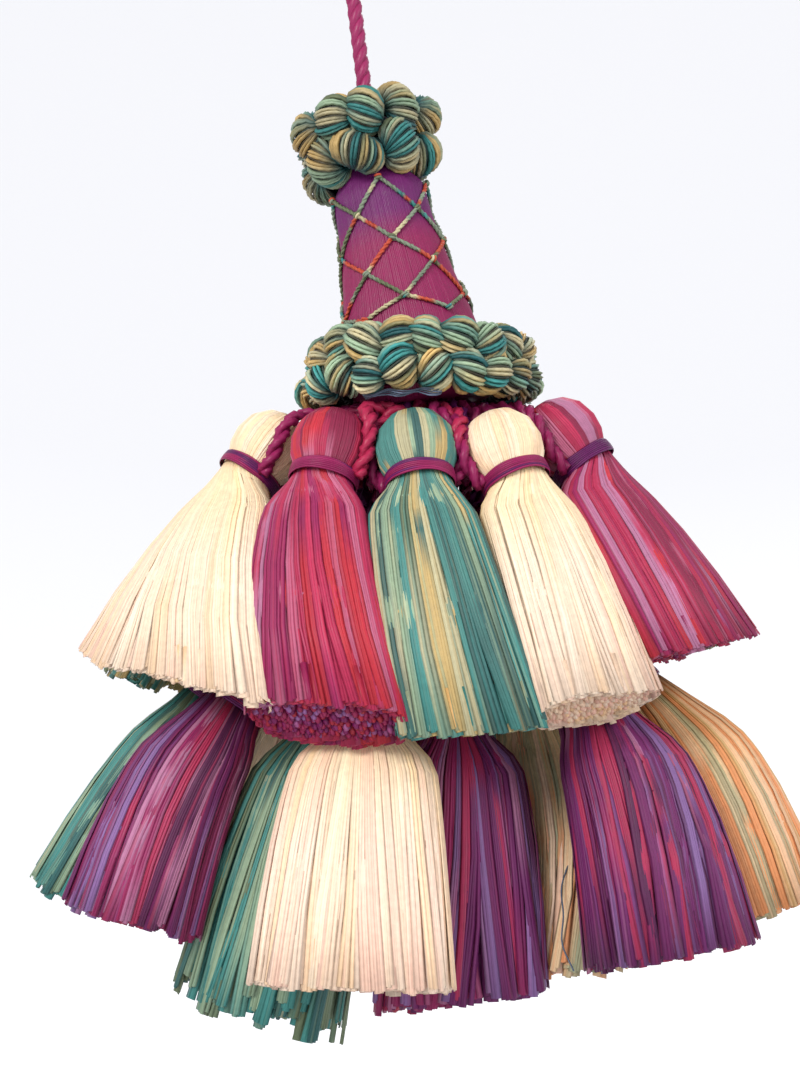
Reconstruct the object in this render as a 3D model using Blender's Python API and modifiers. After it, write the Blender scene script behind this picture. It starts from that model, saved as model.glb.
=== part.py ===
"""A hung key tassel: a wound head between two ruched ruffs, with two tiers of small tied tassels below it.

Metres, +Z up, the front towards -Y. The origin is the place where the hanging loop bears on its hook.
"""

import functools
import math
import random

import bmesh
import bpy
from mathutils import Quaternion, Vector

MM = 0.001

# The clearance between neighbouring pieces.
GAP = 0.3 * MM

# The hanging cord, its knot and its loop.
CORD_RADIUS = 1.5 * MM
CORD_DROP = 25.0 * MM
ROPE_PLIES = 3
ROPE_LAY_LENGTH = 8.0 * MM
ROPE_STEPS_PER_LAY = 6
ROPE_GROOVE = 0.36 * MM
LOOP_HALF_WIDTH = 6.0 * MM
LOOP_LENGTH = 21.0 * MM
LOOP_ROUTE_LENGTH = 2.2 * LOOP_LENGTH
KNOT_HEIGHT = 7.0 * MM
KNOT_RADIUS = 3.3 * MM
KNOT_TURNS = 3
KNOT_GROOVE = 0.8 * MM
KNOT_SIDES = 14

# The wound head. Heights are above the middle of the lower ruff, along the head's own axis.
HEAD_TOP = 50.0 * MM
HEAD_AXIS = Vector((5.0, -5.0, -52.2)).normalized()
CORD_OFF_CENTRE = -1.2 * MM
HEAD_SIDES = 24
HEAD_PROFILE = (
    # (height, radius) in mm, from the top face down to the foot
    (50.0, 5.6),
    (38.8, 6.4),
    (36.6, 8.8),
    (31.0, 8.9),
    (25.0, 9.5),
    (18.0, 10.6),
    (11.0, 12.0),
    (5.0, 12.9),
    (-6.0, 13.0),
)

# The ruffs, in mm and degrees. A ruff is a ring of lobes, each wound with turns of yarn.
RUFF_COLUMNS = ("name", "lobes", "middle", "inner", "outer", "half_height", "tilt")
RUFFS = (
    ("upper_ruff", 10, 45.5, 6.9, 13.9, 8.6, 0.0),
    ("lower_ruff", 16, 0.0, 14.2, 23.2, 6.4, 11.0),
)
RUFF_STEPS_PER_LOBE = 4
RUFF_TURNS_PER_LOBE = 7
RUFF_TURN_GROOVE = 0.08
RUFF_VALLEY = 0.64
RUFF_LOBE_FULLNESS = 0.6
RUFF_SMALLEST_LOBE = 0.9
RUFF_UNEVEN_LIFT = 0.6

# The net over the head. The heights of its rows of knots are in mm.
NET_CELLS = 5
NET_ROWS = (35.4, 29.8, 23.8, 18.0, 12.2, 8.6)
NET_THREAD_WIDTH = 1.4 * MM
NET_STAND_OFF = 1.2 * MM

# The hanger cords gathered in a bundle below the head.
BUNDLE_TOP = -7.9 * MM
BUNDLE_WAIST = -15.9 * MM
BUNDLE_BOTTOM = -28.0 * MM
BUNDLE_RADIUS = 6.0 * MM
BUNDLE_END_RADIUS = 3.6 * MM
BUNDLE_SIDES = 12

# The skirt leans back under the loop, so that the whole tassel balances on its cord.
SKIRT_LEAN = math.radians(6.5)
FRONT_DEPTH = 0.74
BACK_DEPTH = 0.6

# One small tassel's head is a wound ball, tied at the neck. (height above the ball's middle, radius) in mm.
BALL_PROFILES = {
    "upper": ((5.8, 3.4), (2.8, 6.5), (-1.2, 7.0), (-5.4, 5.2), (-8.4, 5.2)),
    "outer": ((5.0, 4.4), (-1.2, 7.0), (-5.4, 5.2), (-8.4, 5.2)),
    "inner": ((5.0, 4.4), (-1.2, 7.0), (-5.4, 5.2), (-8.4, 5.2)),
}
BALL_TOP = 6.8 * MM
NECK_DROP = 6.9 * MM
NECK_RADIUS = 5.2 * MM

# Its skirt is a ring of locks round an open core, with their sections at these shares of the skirt's height.
STATIONS = {"upper": (0.13, 0.5, 1.0), "outer": (0.2, 1.0), "inner": (0.2, 1.0)}
LOCK_CORE_SHARE = 0.3
LOCK_ROOT_INSET = 0.03
LOCK_HALF_GAP = 0.045
LOCK_UNEVENNESS = 0.16
FLARE_BASE = 0.3
FLARE_PER_DEGREE = 0.0125
FOOT_TILT = 0.4
SWEEP_POWER = 0.75
SWEEP_START = 3.0 * MM

# Its tie goes round the neck and up to the bundle. (tier: distance from the bundle's axis, height)
TIE_RING_RADIUS = 6.55 * MM
TIE_RADIUS = 0.8 * MM
TIE_TURN_STEPS = 9
TIE_OPENING = 0.1
HANGER_STAND_OFF = 8.5 * MM
HANGER_SHOULDER = 5.0 * MM
HANGER_STARTS = {
    "upper": (6.85 * MM, -10.4 * MM),
    "outer": (4.75 * MM, BUNDLE_BOTTOM + 1.0 * MM),
    "inner": (2.4 * MM, BUNDLE_BOTTOM - 1.5 * GAP),
}

COLUMNS = (
    "name", "yarn", "head_az", "head_r", "head_z",
    "foot_az", "foot_r", "foot_z", "half_az", "half_r", "locks",
)
# The small tassels: azimuths in degrees from the front, positive to the right, and radii and heights in mm
# from the lower ruff's middle. half_az and half_r are half the width and half the thickness of the foot.
TIERS = {
    "upper": (
        ("cream_left", "cream", -76, 28, -13.5, -54, 59, -52, 28.4, 5.5, 12),
        ("red_left", "red", -34, 28, -14.0, -14, 57.0, -57, 10.2, 5.5, 12),
        ("green_front", "green", -2, 28, -14.5, 7.5, 57.0, -61, 10.6, 5.5, 12),
        ("cream_right", "cream", 30, 28, -14.5, 29, 57.0, -58, 10.2, 5.5, 12),
        ("red_right", "red", 64, 28, -12.0, 62, 58.5, -52, 22.0, 5.5, 12),
        ("green_right_back", "green", 108, 29, -14.5, 107, 55.5, -54, 22.0, 5.5, 9),
        ("cream_back", "cream", 150, 34, -17.5, 150, 53, -57, 20.4, 5.5, 9),
        ("red_back", "red", -162, 34, -17.5, -169, 53, -57, 20.0, 5.5, 9),
        ("green_left_back", "green", -122, 29, -16.5, -116, 55.5, -57, 32.0, 5.5, 12),
    ),
    "outer": (
        ("green_left", "green", -90, 34, -54, -84, 62, -97, 17.0, 11, 12),
        ("plum_left", "plum", -58, 34, -54, -51.5, 62, -97, 11.6, 11, 12),
        ("cream_front", "cream", -14, 34, -54, -11.5, 62, -101, 15.2, 11, 12),
        ("plum_right", "plum", 42, 34, -54, 39.4, 62, -99, 13.0, 11, 12),
        ("cream_far_right", "cream", 78, 34, -54, 76, 62, -97, 19.0, 11, 12),
        ("red_right_back", "red", 118, 34, -54, 117, 58, -98, 20.6, 11, 9),
        ("green_back", "green", 162, 29, -54, 160, 54, -100, 20.8, 11, 9),
        ("plum_back", "plum", -158, 29, -54, -159, 54, -100, 19.0, 11, 9),
        ("cream_left_back", "cream", -128, 34, -54, -121, 57, -98, 17.6, 11, 9),
    ),
    "inner": (
        ("green_front_low", "green", -40, 16, -56, -40, 38, -112, 19.0, 12.0, 12),
        ("plum_front_low", "plum", 14, 16, -56, 7, 37, -109, 20.0, 12.0, 12),
        ("cream_right_low", "cream", 80, 15.2, -56, 38.4, 38.5, -106, 9.0, 10.0, 9),
    ),
}

YARN_ROUGHNESS = 0.6
YARN_COLOURS = {
    "cream": (0.86, 0.72, 0.52),
    "red": (0.52, 0.04, 0.12),
    "green": (0.13, 0.32, 0.24),
    "plum": (0.22, 0.03, 0.16),
    "magenta": (0.33, 0.02, 0.14),
    "ruff_mix": (0.26, 0.30, 0.17),
    "net_mix": (0.35, 0.22, 0.14),
}


def clear_scene():
    for obj in list(bpy.data.objects):
        bpy.data.objects.remove(obj)


def yarn_material(name):
    material = bpy.data.materials.new(name + "_yarn")
    material.use_nodes = True
    shader = material.node_tree.nodes["Principled BSDF"]
    shader.inputs["Base Color"].default_value = (*YARN_COLOURS[name], 1.0)
    shader.inputs["Roughness"].default_value = YARN_ROUGHNESS
    shader.inputs["Metallic"].default_value = 0.0
    return material


class Workshop:
    """The collections that the parts and their guides go in, and the yarns they are made of."""

    def __init__(self):
        self.parts = bpy.data.collections.new("tassel")
        self.guides = bpy.data.collections.new("guides")
        for collection in (self.parts, self.guides):
            bpy.context.scene.collection.children.link(collection)
        self.yarns = {name: yarn_material(name) for name in YARN_COLOURS}

    def add(self, name, data, yarn, parent=None):
        obj = bpy.data.objects.new(name, data)
        self.parts.objects.link(obj)
        data.materials.append(self.yarns[yarn])
        obj.parent = parent
        return obj

    def add_frame(self, name, location, rotation):
        frame = bpy.data.objects.new(name, None)
        self.parts.objects.link(frame)
        frame.location = location
        frame.rotation_mode = "QUATERNION"
        frame.rotation_quaternion = rotation
        return frame


def mesh_from(name, bm):
    bmesh.ops.recalc_face_normals(bm, faces=bm.faces)
    mesh = bpy.data.meshes.new(name)
    bm.to_mesh(mesh)
    bm.free()
    return mesh


def add_ring(bm, places):
    return [bm.verts.new(place) for place in places]


def bridge(bm, upper, lower):
    """A band of faces between two rings of as many points."""
    for i in range(len(upper)):
        j = (i + 1) % len(upper)
        bm.faces.new((upper[i], lower[i], lower[j], upper[j]))


def add_turned(shop, name, profile, sides, yarn, parent=None):
    """A solid turned round its own Z axis, from a profile that runs from the axis to the axis, downwards."""
    mesh = bpy.data.meshes.new(name)
    places = [(radius, 0.0, height) for height, radius in profile]
    mesh.from_pydata(places, [(i, i + 1) for i in range(len(places) - 1)], [])
    obj = shop.add(name, mesh, yarn, parent)
    screw = obj.modifiers.new("turn", "SCREW")
    screw.steps = screw.render_steps = sides
    screw.use_merge_vertices = True
    screw.merge_threshold = 0.00001
    screw.use_smooth_shade = True
    return obj


# The hanging cord.


def add_rope_outline(shop):
    """The twisted cord's section, with a groove between its plies. It guides the cords and isn't a part."""
    curve = bpy.data.curves.new("rope_outline", "CURVE")
    curve.dimensions = "2D"
    spline = curve.splines.new("POLY")
    spline.points.add(2 * ROPE_PLIES - 1)
    for i, point in enumerate(spline.points):
        turn = -math.pi * i / ROPE_PLIES
        radius = CORD_RADIUS - ROPE_GROOVE * (i % 2)
        point.co = (radius * math.cos(turn), radius * math.sin(turn), 0.0, 1.0)
    spline.use_cyclic_u = True
    outline = bpy.data.objects.new("rope_outline", curve)
    shop.guides.objects.link(outline)
    outline.hide_render = True
    outline.display_type = "WIRE"
    return outline


def add_rope(shop, name, route, length, outline):
    """A twisted cord along a route, which is a function of the share of its length."""
    steps = round(length / ROPE_LAY_LENGTH * ROPE_STEPS_PER_LAY)
    curve = bpy.data.curves.new(name, "CURVE")
    curve.dimensions = "3D"
    curve.twist_mode = "MINIMUM"
    curve.bevel_mode = "OBJECT"
    curve.bevel_object = outline
    curve.use_fill_caps = True
    spline = curve.splines.new("POLY")
    spline.points.add(steps)
    for i, point in enumerate(spline.points):
        point.co = (*route(i / steps), 1.0)
        point.tilt = math.tau * i / ROPE_STEPS_PER_LAY
    return shop.add(name, curve, "magenta")


def loop_place(share):
    """The loop's middle line: up from the knot, round the open top and down again."""
    leg = CORD_RADIUS + 0.5 * GAP
    middle_height = CORD_RADIUS - 0.5 * LOOP_LENGTH
    turn = math.tau * share
    rounded = math.sin(0.5 * turn) ** 2
    opening = leg + (LOOP_HALF_WIDTH - leg) * rounded**1.2
    narrowing = math.sqrt(max(0.0, 1.0 - max(0.0, -math.cos(turn)) ** 4))
    side = -1.0 if share < 0.5 else 1.0
    return Vector((side * opening * narrowing, 0.0, middle_height - 0.5 * LOOP_LENGTH * math.cos(turn)))


def add_knot(shop, top):
    """Turns of the cord wound round itself, as a turned solid with grooves between the turns."""
    shoulder = KNOT_RADIUS - KNOT_GROOVE
    turn_height = KNOT_HEIGHT / KNOT_TURNS
    profile = [(top, 0.0), (top, shoulder)]
    for turn in range(KNOT_TURNS):
        profile.append((top - turn_height * (turn + 0.5), KNOT_RADIUS))
        profile.append((top - turn_height * (turn + 1.0), shoulder))
    profile.append((top - KNOT_HEIGHT, 0.0))
    return add_turned(shop, "hanging_knot", profile, KNOT_SIDES, "magenta")


def add_hanging_cord(shop):
    """The loop, the knot and the cord below it. Returns the height where the cord ends in the head."""
    outline = add_rope_outline(shop)
    knot_top = CORD_RADIUS - LOOP_LENGTH - 1.5 * GAP
    cord_top = knot_top - KNOT_HEIGHT - GAP

    def cord_place(share):
        return Vector((0.0, 0.0, cord_top - CORD_DROP * share))

    add_rope(shop, "hanging_loop", loop_place, LOOP_ROUTE_LENGTH, outline)
    add_knot(shop, knot_top)
    add_rope(shop, "hanging_cord", cord_place, CORD_DROP, outline)
    return cord_top - CORD_DROP


# The head, its net and its ruffs.


def head_radius(height):
    """The wound head's radius at a height in mm."""
    for (above, upper), (below, lower) in zip(HEAD_PROFILE, HEAD_PROFILE[1:]):
        if below <= height <= above:
            share = (above - height) / (above - below)
            return upper + (lower - upper) * share
    return HEAD_PROFILE[-1][1]


def add_head(shop, parent):
    outline = [(height * MM, radius * MM) for height, radius in HEAD_PROFILE]
    profile = [(outline[0][0], 0.0), *outline, (outline[-1][0], 0.0)]
    return add_turned(shop, "wound_head", profile, HEAD_SIDES, "magenta", parent)


def new_torus(around_steps, section_steps):
    """A torus of radius 1 with a section a quarter as large, out of any collection."""
    bpy.ops.mesh.primitive_torus_add(
        major_segments=around_steps,
        minor_segments=section_steps,
        major_radius=1.0,
        minor_radius=0.25,
    )
    obj = bpy.context.object
    mesh = obj.data
    bpy.data.objects.remove(obj)
    return mesh


def add_ruff(shop, parent, row):
    """A ring of ruched loops: a torus whose section swells at each loop and shrinks between them."""
    ruff = dict(zip(RUFF_COLUMNS, row))
    lobes = ruff["lobes"]
    half_thick = 0.5 * (ruff["outer"] - ruff["inner"])
    chance = random.Random(ruff["name"])
    swell = [chance.uniform(RUFF_SMALLEST_LOBE, 1.0) for _ in range(lobes)]
    lift = [chance.uniform(-RUFF_UNEVEN_LIFT, RUFF_UNEVEN_LIFT) for _ in range(lobes)]
    mesh = new_torus(lobes * RUFF_STEPS_PER_LOBE, 2 * RUFF_TURNS_PER_LOBE)
    for vertex in mesh.vertices:
        around = math.atan2(vertex.co.y, vertex.co.x) % math.tau
        section = math.atan2(vertex.co.z, math.hypot(vertex.co.x, vertex.co.y) - 1.0)
        lobe_share = around / math.tau * lobes
        lobe = round(lobe_share) % lobes
        ridge = abs(math.cos(math.pi * lobe_share)) ** RUFF_LOBE_FULLNESS
        wound = RUFF_TURN_GROOVE * math.cos(RUFF_TURNS_PER_LOBE * section)
        size = RUFF_VALLEY + (1.0 - RUFF_VALLEY) * ridge * swell[lobe] + wound
        radius = ruff["inner"] + half_thick * size * (1.0 + math.cos(section))
        height = ruff["half_height"] * size * math.sin(section) + lift[lobe] * ridge
        vertex.co = Vector((math.cos(around) * radius, math.sin(around) * radius, height)) * MM
    mesh.shade_smooth()
    obj = shop.add(ruff["name"], mesh, "ruff_mix", parent)
    obj.location = (0.0, 0.0, ruff["middle"] * MM)
    obj.rotation_euler = (0.0, math.radians(ruff["tilt"]), 0.0)
    return obj


def net_place(height, turn):
    """A point of the net, over the head at a height in mm."""
    reach = head_radius(height) * MM + NET_STAND_OFF
    return Vector((reach * math.sin(turn), -reach * math.cos(turn), height * MM))


def add_net(shop, parent):
    """A diamond net knotted over the head: its cells are faces, and Wireframe leaves their edges."""
    bm = bmesh.new()
    half_cell = math.pi / NET_CELLS
    around = 2 * NET_CELLS

    # Knots lie on even half cells in even rows and on odd ones in odd rows. Threads cross between them.
    knots = []
    for row, height in enumerate(NET_ROWS):
        places = range(row % 2, around, 2)
        knots.append({place: bm.verts.new(net_place(height, place * half_cell)) for place in places})
    threads = []
    for above, below in zip(NET_ROWS, NET_ROWS[1:]):
        middle = 0.5 * (above + below)
        turns = [(place + 0.5) * half_cell for place in range(around)]
        threads.append([bm.verts.new(net_place(middle, turn)) for turn in turns])

    for row in range(len(NET_ROWS) - 2):
        for place in knots[row]:
            right = (place + 1) % around
            left = (place - 1) % around
            bm.faces.new((
                knots[row][place],
                threads[row][place],
                knots[row + 1][right],
                threads[row + 1][place],
                knots[row + 2][place],
                threads[row + 1][left],
                knots[row + 1][left],
                threads[row][left],
            ))
    obj = shop.add("head_net", mesh_from("head_net", bm), "net_mix", parent)
    wire = obj.modifiers.new("thread", "WIREFRAME")
    wire.thickness = NET_THREAD_WIDTH
    wire.use_boundary = True
    wire.use_even_offset = True
    return obj


def add_bundle(shop, parent):
    """The gathered cord ends below the head, narrowing downwards."""
    profile = (
        (BUNDLE_TOP, 0.0),
        (BUNDLE_TOP, BUNDLE_RADIUS),
        (BUNDLE_WAIST, BUNDLE_RADIUS),
        (BUNDLE_BOTTOM, BUNDLE_END_RADIUS),
        (BUNDLE_BOTTOM, 0.0),
    )
    return add_turned(shop, "cord_bundle", profile, BUNDLE_SIDES, "magenta", parent)


# The small tassels.


def skirt_place(azimuth, reach, height):
    """A point of the skirt: an azimuth from the front, a reach as seen from the front, and a height."""
    ahead = math.cos(azimuth)
    depth = FRONT_DEPTH if ahead > 0.0 else BACK_DEPTH
    return Vector((reach * math.sin(azimuth), -reach * ahead * depth, height))


class SmallTassel:
    """The shape of one small tassel, worked out from its row of the table."""

    def __init__(self, tier, row):
        values = dict(zip(COLUMNS, row))
        self.tier = tier
        self.name = f"{tier}_{values['name']}"
        self.yarn = values["yarn"]
        self.locks = values["locks"]
        self.head_az = math.radians(values["head_az"])
        self.foot_az = math.radians(values["foot_az"])
        self.half_az = math.radians(values["half_az"])
        self.head_r = values["head_r"] * MM
        self.foot_r = values["foot_r"] * MM
        self.half_r = values["half_r"] * MM
        self.foot_z = values["foot_z"] * MM
        self.head = skirt_place(self.head_az, self.head_r, values["head_z"] * MM)
        self.neck_z = values["head_z"] * MM - NECK_DROP
        below_neck = skirt_place(*self.sweep(0.2))
        self.axis = (below_neck - self.head).normalized()
        self.neck = self.head + self.axis * NECK_DROP
        outward = skirt_place(self.head_az, 1.0, 0.0)
        self.side = outward.cross(self.axis).normalized()
        self.out = self.side.cross(self.axis)
        self.out *= math.copysign(1.0, self.out.dot(outward))
        self.rims = self.rim_turns()
        self.flare_power = FLARE_BASE + FLARE_PER_DEGREE * values["half_az"]

    def rim_turns(self):
        """Where the skirt parts into locks, as uneven turns round its section."""
        chance = random.Random(self.name)
        step = math.tau / self.locks
        return [step * (i + chance.uniform(-LOCK_UNEVENNESS, LOCK_UNEVENNESS)) for i in range(self.locks)]

    def sweep(self, share):
        """The angle, reach and height of the skirt's middle line, from the neck at 0 to the foot at 1."""
        eased = share**SWEEP_POWER
        start = self.head_r + SWEEP_START
        angle = self.head_az + (self.foot_az - self.head_az) * eased
        return angle, start + (self.foot_r - start) * eased, self.neck_z + (self.foot_z - self.neck_z) * share

    def section_place(self, share, turn, ratio):
        """A point of the skirt's section. ratio is 0 on the middle line and 1 on the rim."""
        angle, reach, height = self.sweep(share)
        flare = share**self.flare_power
        half_side = NECK_RADIUS + (self.half_az * self.foot_r - NECK_RADIUS) * flare
        half_out = NECK_RADIUS + (self.half_r - NECK_RADIUS) * flare
        roundness = 2.0 / (2.0 + share)
        across = math.copysign(abs(math.sin(turn)) ** roundness, math.sin(turn)) * ratio
        outward = math.copysign(abs(math.cos(turn)) ** roundness, math.cos(turn)) * ratio
        lean = (self.foot_r - self.head_r) / (self.neck_z - self.foot_z)
        rise = FOOT_TILT * half_out * outward * lean
        return skirt_place(angle + half_side * across / reach, reach + half_out * outward, height + rise)

    def ball_place(self, height, radius, turn):
        lateral = self.side * math.sin(turn) + self.out * math.cos(turn)
        return self.head - self.axis * height + lateral * radius


def lock_section(tassel, index, place, half_gap, inset=0.0):
    """The corners of a lock's section. place gives a point for a turn and a share of the way to the rim."""
    start = tassel.rims[index] + half_gap
    end = tassel.rims[(index + 1) % tassel.locks] - half_gap
    if end < start:
        end += math.tau
    inner = LOCK_CORE_SHARE + inset
    outer = 1.0 - inset
    return [place(start, inner), place(end, inner), place(end, outer), place(start, outer)]


def add_small_tassel(shop, parent, tassel):
    """The wound ball of a small tassel with its skirt of locks, fused to it at their roots."""
    bm = bmesh.new()
    profile = BALL_PROFILES[tassel.tier]
    root_height, root_radius = (value * MM for value in profile[-1])

    def root_place(turn, ratio):
        return tassel.ball_place(root_height, root_radius * ratio, turn)

    crown = bm.verts.new(tassel.ball_place(BALL_TOP, 0.0, 0.0))
    rings = [
        add_ring(bm, [tassel.ball_place(height * MM, radius * MM, turn) for turn in tassel.rims])
        for height, radius in profile
    ]
    core = add_ring(bm, [root_place(turn, LOCK_CORE_SHARE) for turn in tassel.rims])
    for upper, lower in zip(rings, rings[1:]):
        bridge(bm, upper, lower)
    bm.faces.new(core)
    for i in range(tassel.locks):
        j = (i + 1) % tassel.locks
        bm.faces.new((crown, rings[0][i], rings[0][j]))
        section = [core[i], core[j], rings[-1][j], rings[-1][i]]
        levels = [lock_section(tassel, i, root_place, LOCK_HALF_GAP, LOCK_ROOT_INSET)]
        for share in STATIONS[tassel.tier]:
            place_here = functools.partial(tassel.section_place, share)
            levels.append(lock_section(tassel, i, place_here, LOCK_HALF_GAP))
        for places in levels:
            below = add_ring(bm, places)
            bridge(bm, section, below)
            section = below
        bm.faces.new(section)
    return shop.add(tassel.name, mesh_from(tassel.name, bm), tassel.yarn, parent)


def hanger_start(tassel):
    """Where the tie's cord leaves the bundle, on the side of its small tassel."""
    reach, height = HANGER_STARTS[tassel.tier]
    return Vector((reach * math.sin(tassel.head_az), -reach * math.cos(tassel.head_az), height))


def hanger_route(tassel):
    """The tie's middle line: from the bundle, down behind the ball and once round the neck."""
    beside_ball = tassel.head - tassel.out * HANGER_STAND_OFF
    route = [hanger_start(tassel)]
    if tassel.tier != "upper":
        route.append(beside_ball - tassel.axis * HANGER_SHOULDER)
    route.append(beside_ball)
    for i in range(TIE_TURN_STEPS + 1):
        turn = math.pi + math.tau * (0.5 * TIE_OPENING + (1.0 - TIE_OPENING) * i / TIE_TURN_STEPS)
        lateral = tassel.side * math.sin(turn) + tassel.out * math.cos(turn)
        route.append(tassel.neck + lateral * TIE_RING_RADIUS)
    return route


def add_tie(shop, parent, tassel):
    """The band round a small tassel's neck and the cord it hangs by, in one square-sided tube."""
    name = tassel.name + "_tie"
    curve = bpy.data.curves.new(name, "CURVE")
    curve.dimensions = "3D"
    curve.bevel_depth = TIE_RADIUS
    curve.bevel_resolution = 0
    curve.use_fill_caps = True
    route = hanger_route(tassel)
    spline = curve.splines.new("POLY")
    spline.points.add(len(route) - 1)
    for point, place in zip(spline.points, route):
        point.co = (*place, 1.0)
    return shop.add(name, curve, "magenta", parent)


def main():
    clear_scene()
    shop = Workshop()
    cord_foot = add_hanging_cord(shop)
    head_top = Vector((CORD_OFF_CENTRE, 0.0, cord_foot - 2.0 * GAP))
    head_foot = head_top + HEAD_AXIS * HEAD_TOP
    head_lean = Vector((0.0, 0.0, -1.0)).rotation_difference(HEAD_AXIS)
    skirt_lean = Quaternion((0.0, 1.0, 0.0), SKIRT_LEAN)
    head_frame = shop.add_frame("head_frame", head_foot, head_lean)
    skirt_frame = shop.add_frame("skirt_frame", head_foot, skirt_lean)
    add_head(shop, head_frame)
    add_net(shop, head_frame)
    for ruff in RUFFS:
        add_ruff(shop, head_frame, ruff)
    add_bundle(shop, skirt_frame)
    for tier, rows in TIERS.items():
        for row in rows:
            tassel = SmallTassel(tier, row)
            add_small_tassel(shop, skirt_frame, tassel)
            add_tie(shop, skirt_frame, tassel)


main()
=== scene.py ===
"""Dresses the key tassel's solids with its yarns, ruffs, net, ties and cord, and sets a stage for it."""

import math
import zlib

import bpy
import numpy as np
from bpy.props import FloatProperty, FloatVectorProperty, PointerProperty
from bpy.types import Operator, Panel, PropertyGroup
from mathutils import Matrix, Vector


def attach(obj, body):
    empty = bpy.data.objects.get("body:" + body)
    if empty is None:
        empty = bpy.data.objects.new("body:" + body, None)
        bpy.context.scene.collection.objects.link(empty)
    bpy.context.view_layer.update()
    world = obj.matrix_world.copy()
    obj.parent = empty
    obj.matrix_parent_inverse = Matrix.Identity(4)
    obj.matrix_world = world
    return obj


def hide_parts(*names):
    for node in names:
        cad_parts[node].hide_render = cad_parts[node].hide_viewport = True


bl_info = {
    "name": "Key Tassel",
    "version": (1, 0, 0),
    "blender": (4, 5, 0),
    "location": "View3D > Sidebar > Tassel",
    "description": "Lays the yarns of a hung key tassel over its solids and sets a stage for it",
    "category": "Object",
}

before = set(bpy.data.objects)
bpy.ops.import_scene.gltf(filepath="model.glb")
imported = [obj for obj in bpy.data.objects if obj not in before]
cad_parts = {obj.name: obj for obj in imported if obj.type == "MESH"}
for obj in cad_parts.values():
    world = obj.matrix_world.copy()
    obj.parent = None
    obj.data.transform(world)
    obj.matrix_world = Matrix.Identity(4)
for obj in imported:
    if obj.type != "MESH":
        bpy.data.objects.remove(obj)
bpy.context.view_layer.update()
BODY = "root"
MM = 0.001

# The hanging cord's route, as in the solids.
CORD_EXIT = Vector((0.0, 0.0, -52.25 * MM))
CORD_RADIUS = 1.5 * MM
KNOT_BOTTOM = -27.25 * MM
KNOT_TOP = -19.95 * MM
# The knot's turns, and how far from its middle and its ends their own middle line lies.
KNOT_TURNS = 2.8
KNOT_STATIONS = 90
KNOT_REACH = 2.15 * MM
KNOT_INSET = 1.1 * MM
KNOT_SWAY = 0.35 * MM
LOOP_LEG = 1.65 * MM
LOOP_HALF_WIDTH = 6.0 * MM
LOOP_LENGTH = 21.0 * MM
LOOP_STEPS = 60
# The cord's plies: the radius of one, its offset and the length of a turn, and those drawn tight in the knot.
ROPE_PLIES = 3
ROPE_TWIST = (0.90 * MM, 0.60 * MM, 8.0 * MM)
TIGHT_TWIST = (0.72 * MM, 0.48 * MM, 8.0 * MM)

# The head and the skirt stand in frames of their own, below the cord.
HEAD_AXIS = Vector((5.0, -5.0, -52.2)).normalized()
HEAD_TOP = Vector((-1.2, 0.0, -52.85)) * MM
HEAD_LENGTH = 50.0 * MM
HEAD_FOOT = HEAD_TOP + HEAD_AXIS * HEAD_LENGTH
HEAD_TURN = Vector((0.0, 0.0, -1.0)).rotation_difference(HEAD_AXIS)
HEAD_FRAME = Matrix.Translation(HEAD_FOOT) @ HEAD_TURN.to_matrix().to_4x4()
SKIRT_LEAN = math.radians(6.5)
SKIRT_FRAME = Matrix.Translation(HEAD_FOOT) @ Matrix.Rotation(SKIRT_LEAN, 4, "Y")

# The wound head's radius at each height above its foot, in mm.
HEAD_HEIGHTS = (-6.0, 5.0, 11.0, 18.0, 25.0, 31.0, 36.6, 38.8, 50.0)
HEAD_RADII = (13.0, 12.9, 12.0, 10.6, 9.5, 8.9, 8.8, 6.4, 5.6)

# Each ruff's middle above the head's foot, its radii and half its height in mm, and its tilt in degrees.
RUFFS = {
    "upper_ruff": dict(middle=45.5, inner=6.9, outer=13.9, half_height=8.6, tilt=0.0),
    "lower_ruff": dict(middle=0.0, inner=14.2, outer=23.2, half_height=6.4, tilt=11.0),
}

# The net's knots: rows above the head's foot, in mm, with as many cells round it.
NET_CELLS = 5
NET_ROWS = (35.4, 29.8, 23.8, 18.0, 12.2, 8.6)
NET_STAND_OFF = 0.5

# The gathered cords below the head: (height, radius) in mm.
BUNDLE_PROFILE = ((-7.9, 5.2), (-15.9, 5.2), (-28.0, 3.0))

# The small tassels' shape, as in the solids but for the skirts' shoulders and three that sweep out early.
FRONT_DEPTH = 0.74
BACK_DEPTH = 0.6
NECK_DROP = 6.9 * MM
NECK_RADIUS = 5.2 * MM
FLARE_BASE = 0.3
FLARE_PER_DEGREE = 0.0125
SHOULDER_FILL = {"upper": 0.60, "outer": 0.55, "inner": 0.36}
FOOT_TILT = 0.4
SWEEP_POWER = 0.75
EARLY_SWEEPS = {"outer_plum_left": 0.55, "outer_plum_right": 0.45, "outer_cream_far_right": 0.42}
SWEEP_START = 3.0 * MM
FIRST_STATION = {"upper": 0.13, "outer": 0.2, "inner": 0.2}
# A ball's profile: (height above its middle, radius) in mm.
BALL_PROFILE = np.array((
    (6.8, 0.4), (6.2, 2.5), (4.9, 4.7), (2.5, 6.4), (-0.8, 6.95), (-3.6, 6.5), (-5.4, 5.6), (-7.4, 5.2),
))
HANGER_STAND_OFF = 8.5 * MM
HANGER_SHOULDER = 5.0 * MM
TIE_RADIUS = 6.1 * MM
HANGER_STARTS = {
    "upper": (6.85 * MM, -10.4 * MM),
    "outer": (4.75 * MM, -27.0 * MM),
    "inner": (2.4 * MM, -28.45 * MM),
}

COLUMNS = (
    "name", "yarn", "head_az", "head_r", "head_z", "foot_az", "foot_r", "foot_z",
    "half_az", "half_r", "dye", "cut", "slant", "drop", "ragged",
)
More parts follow.
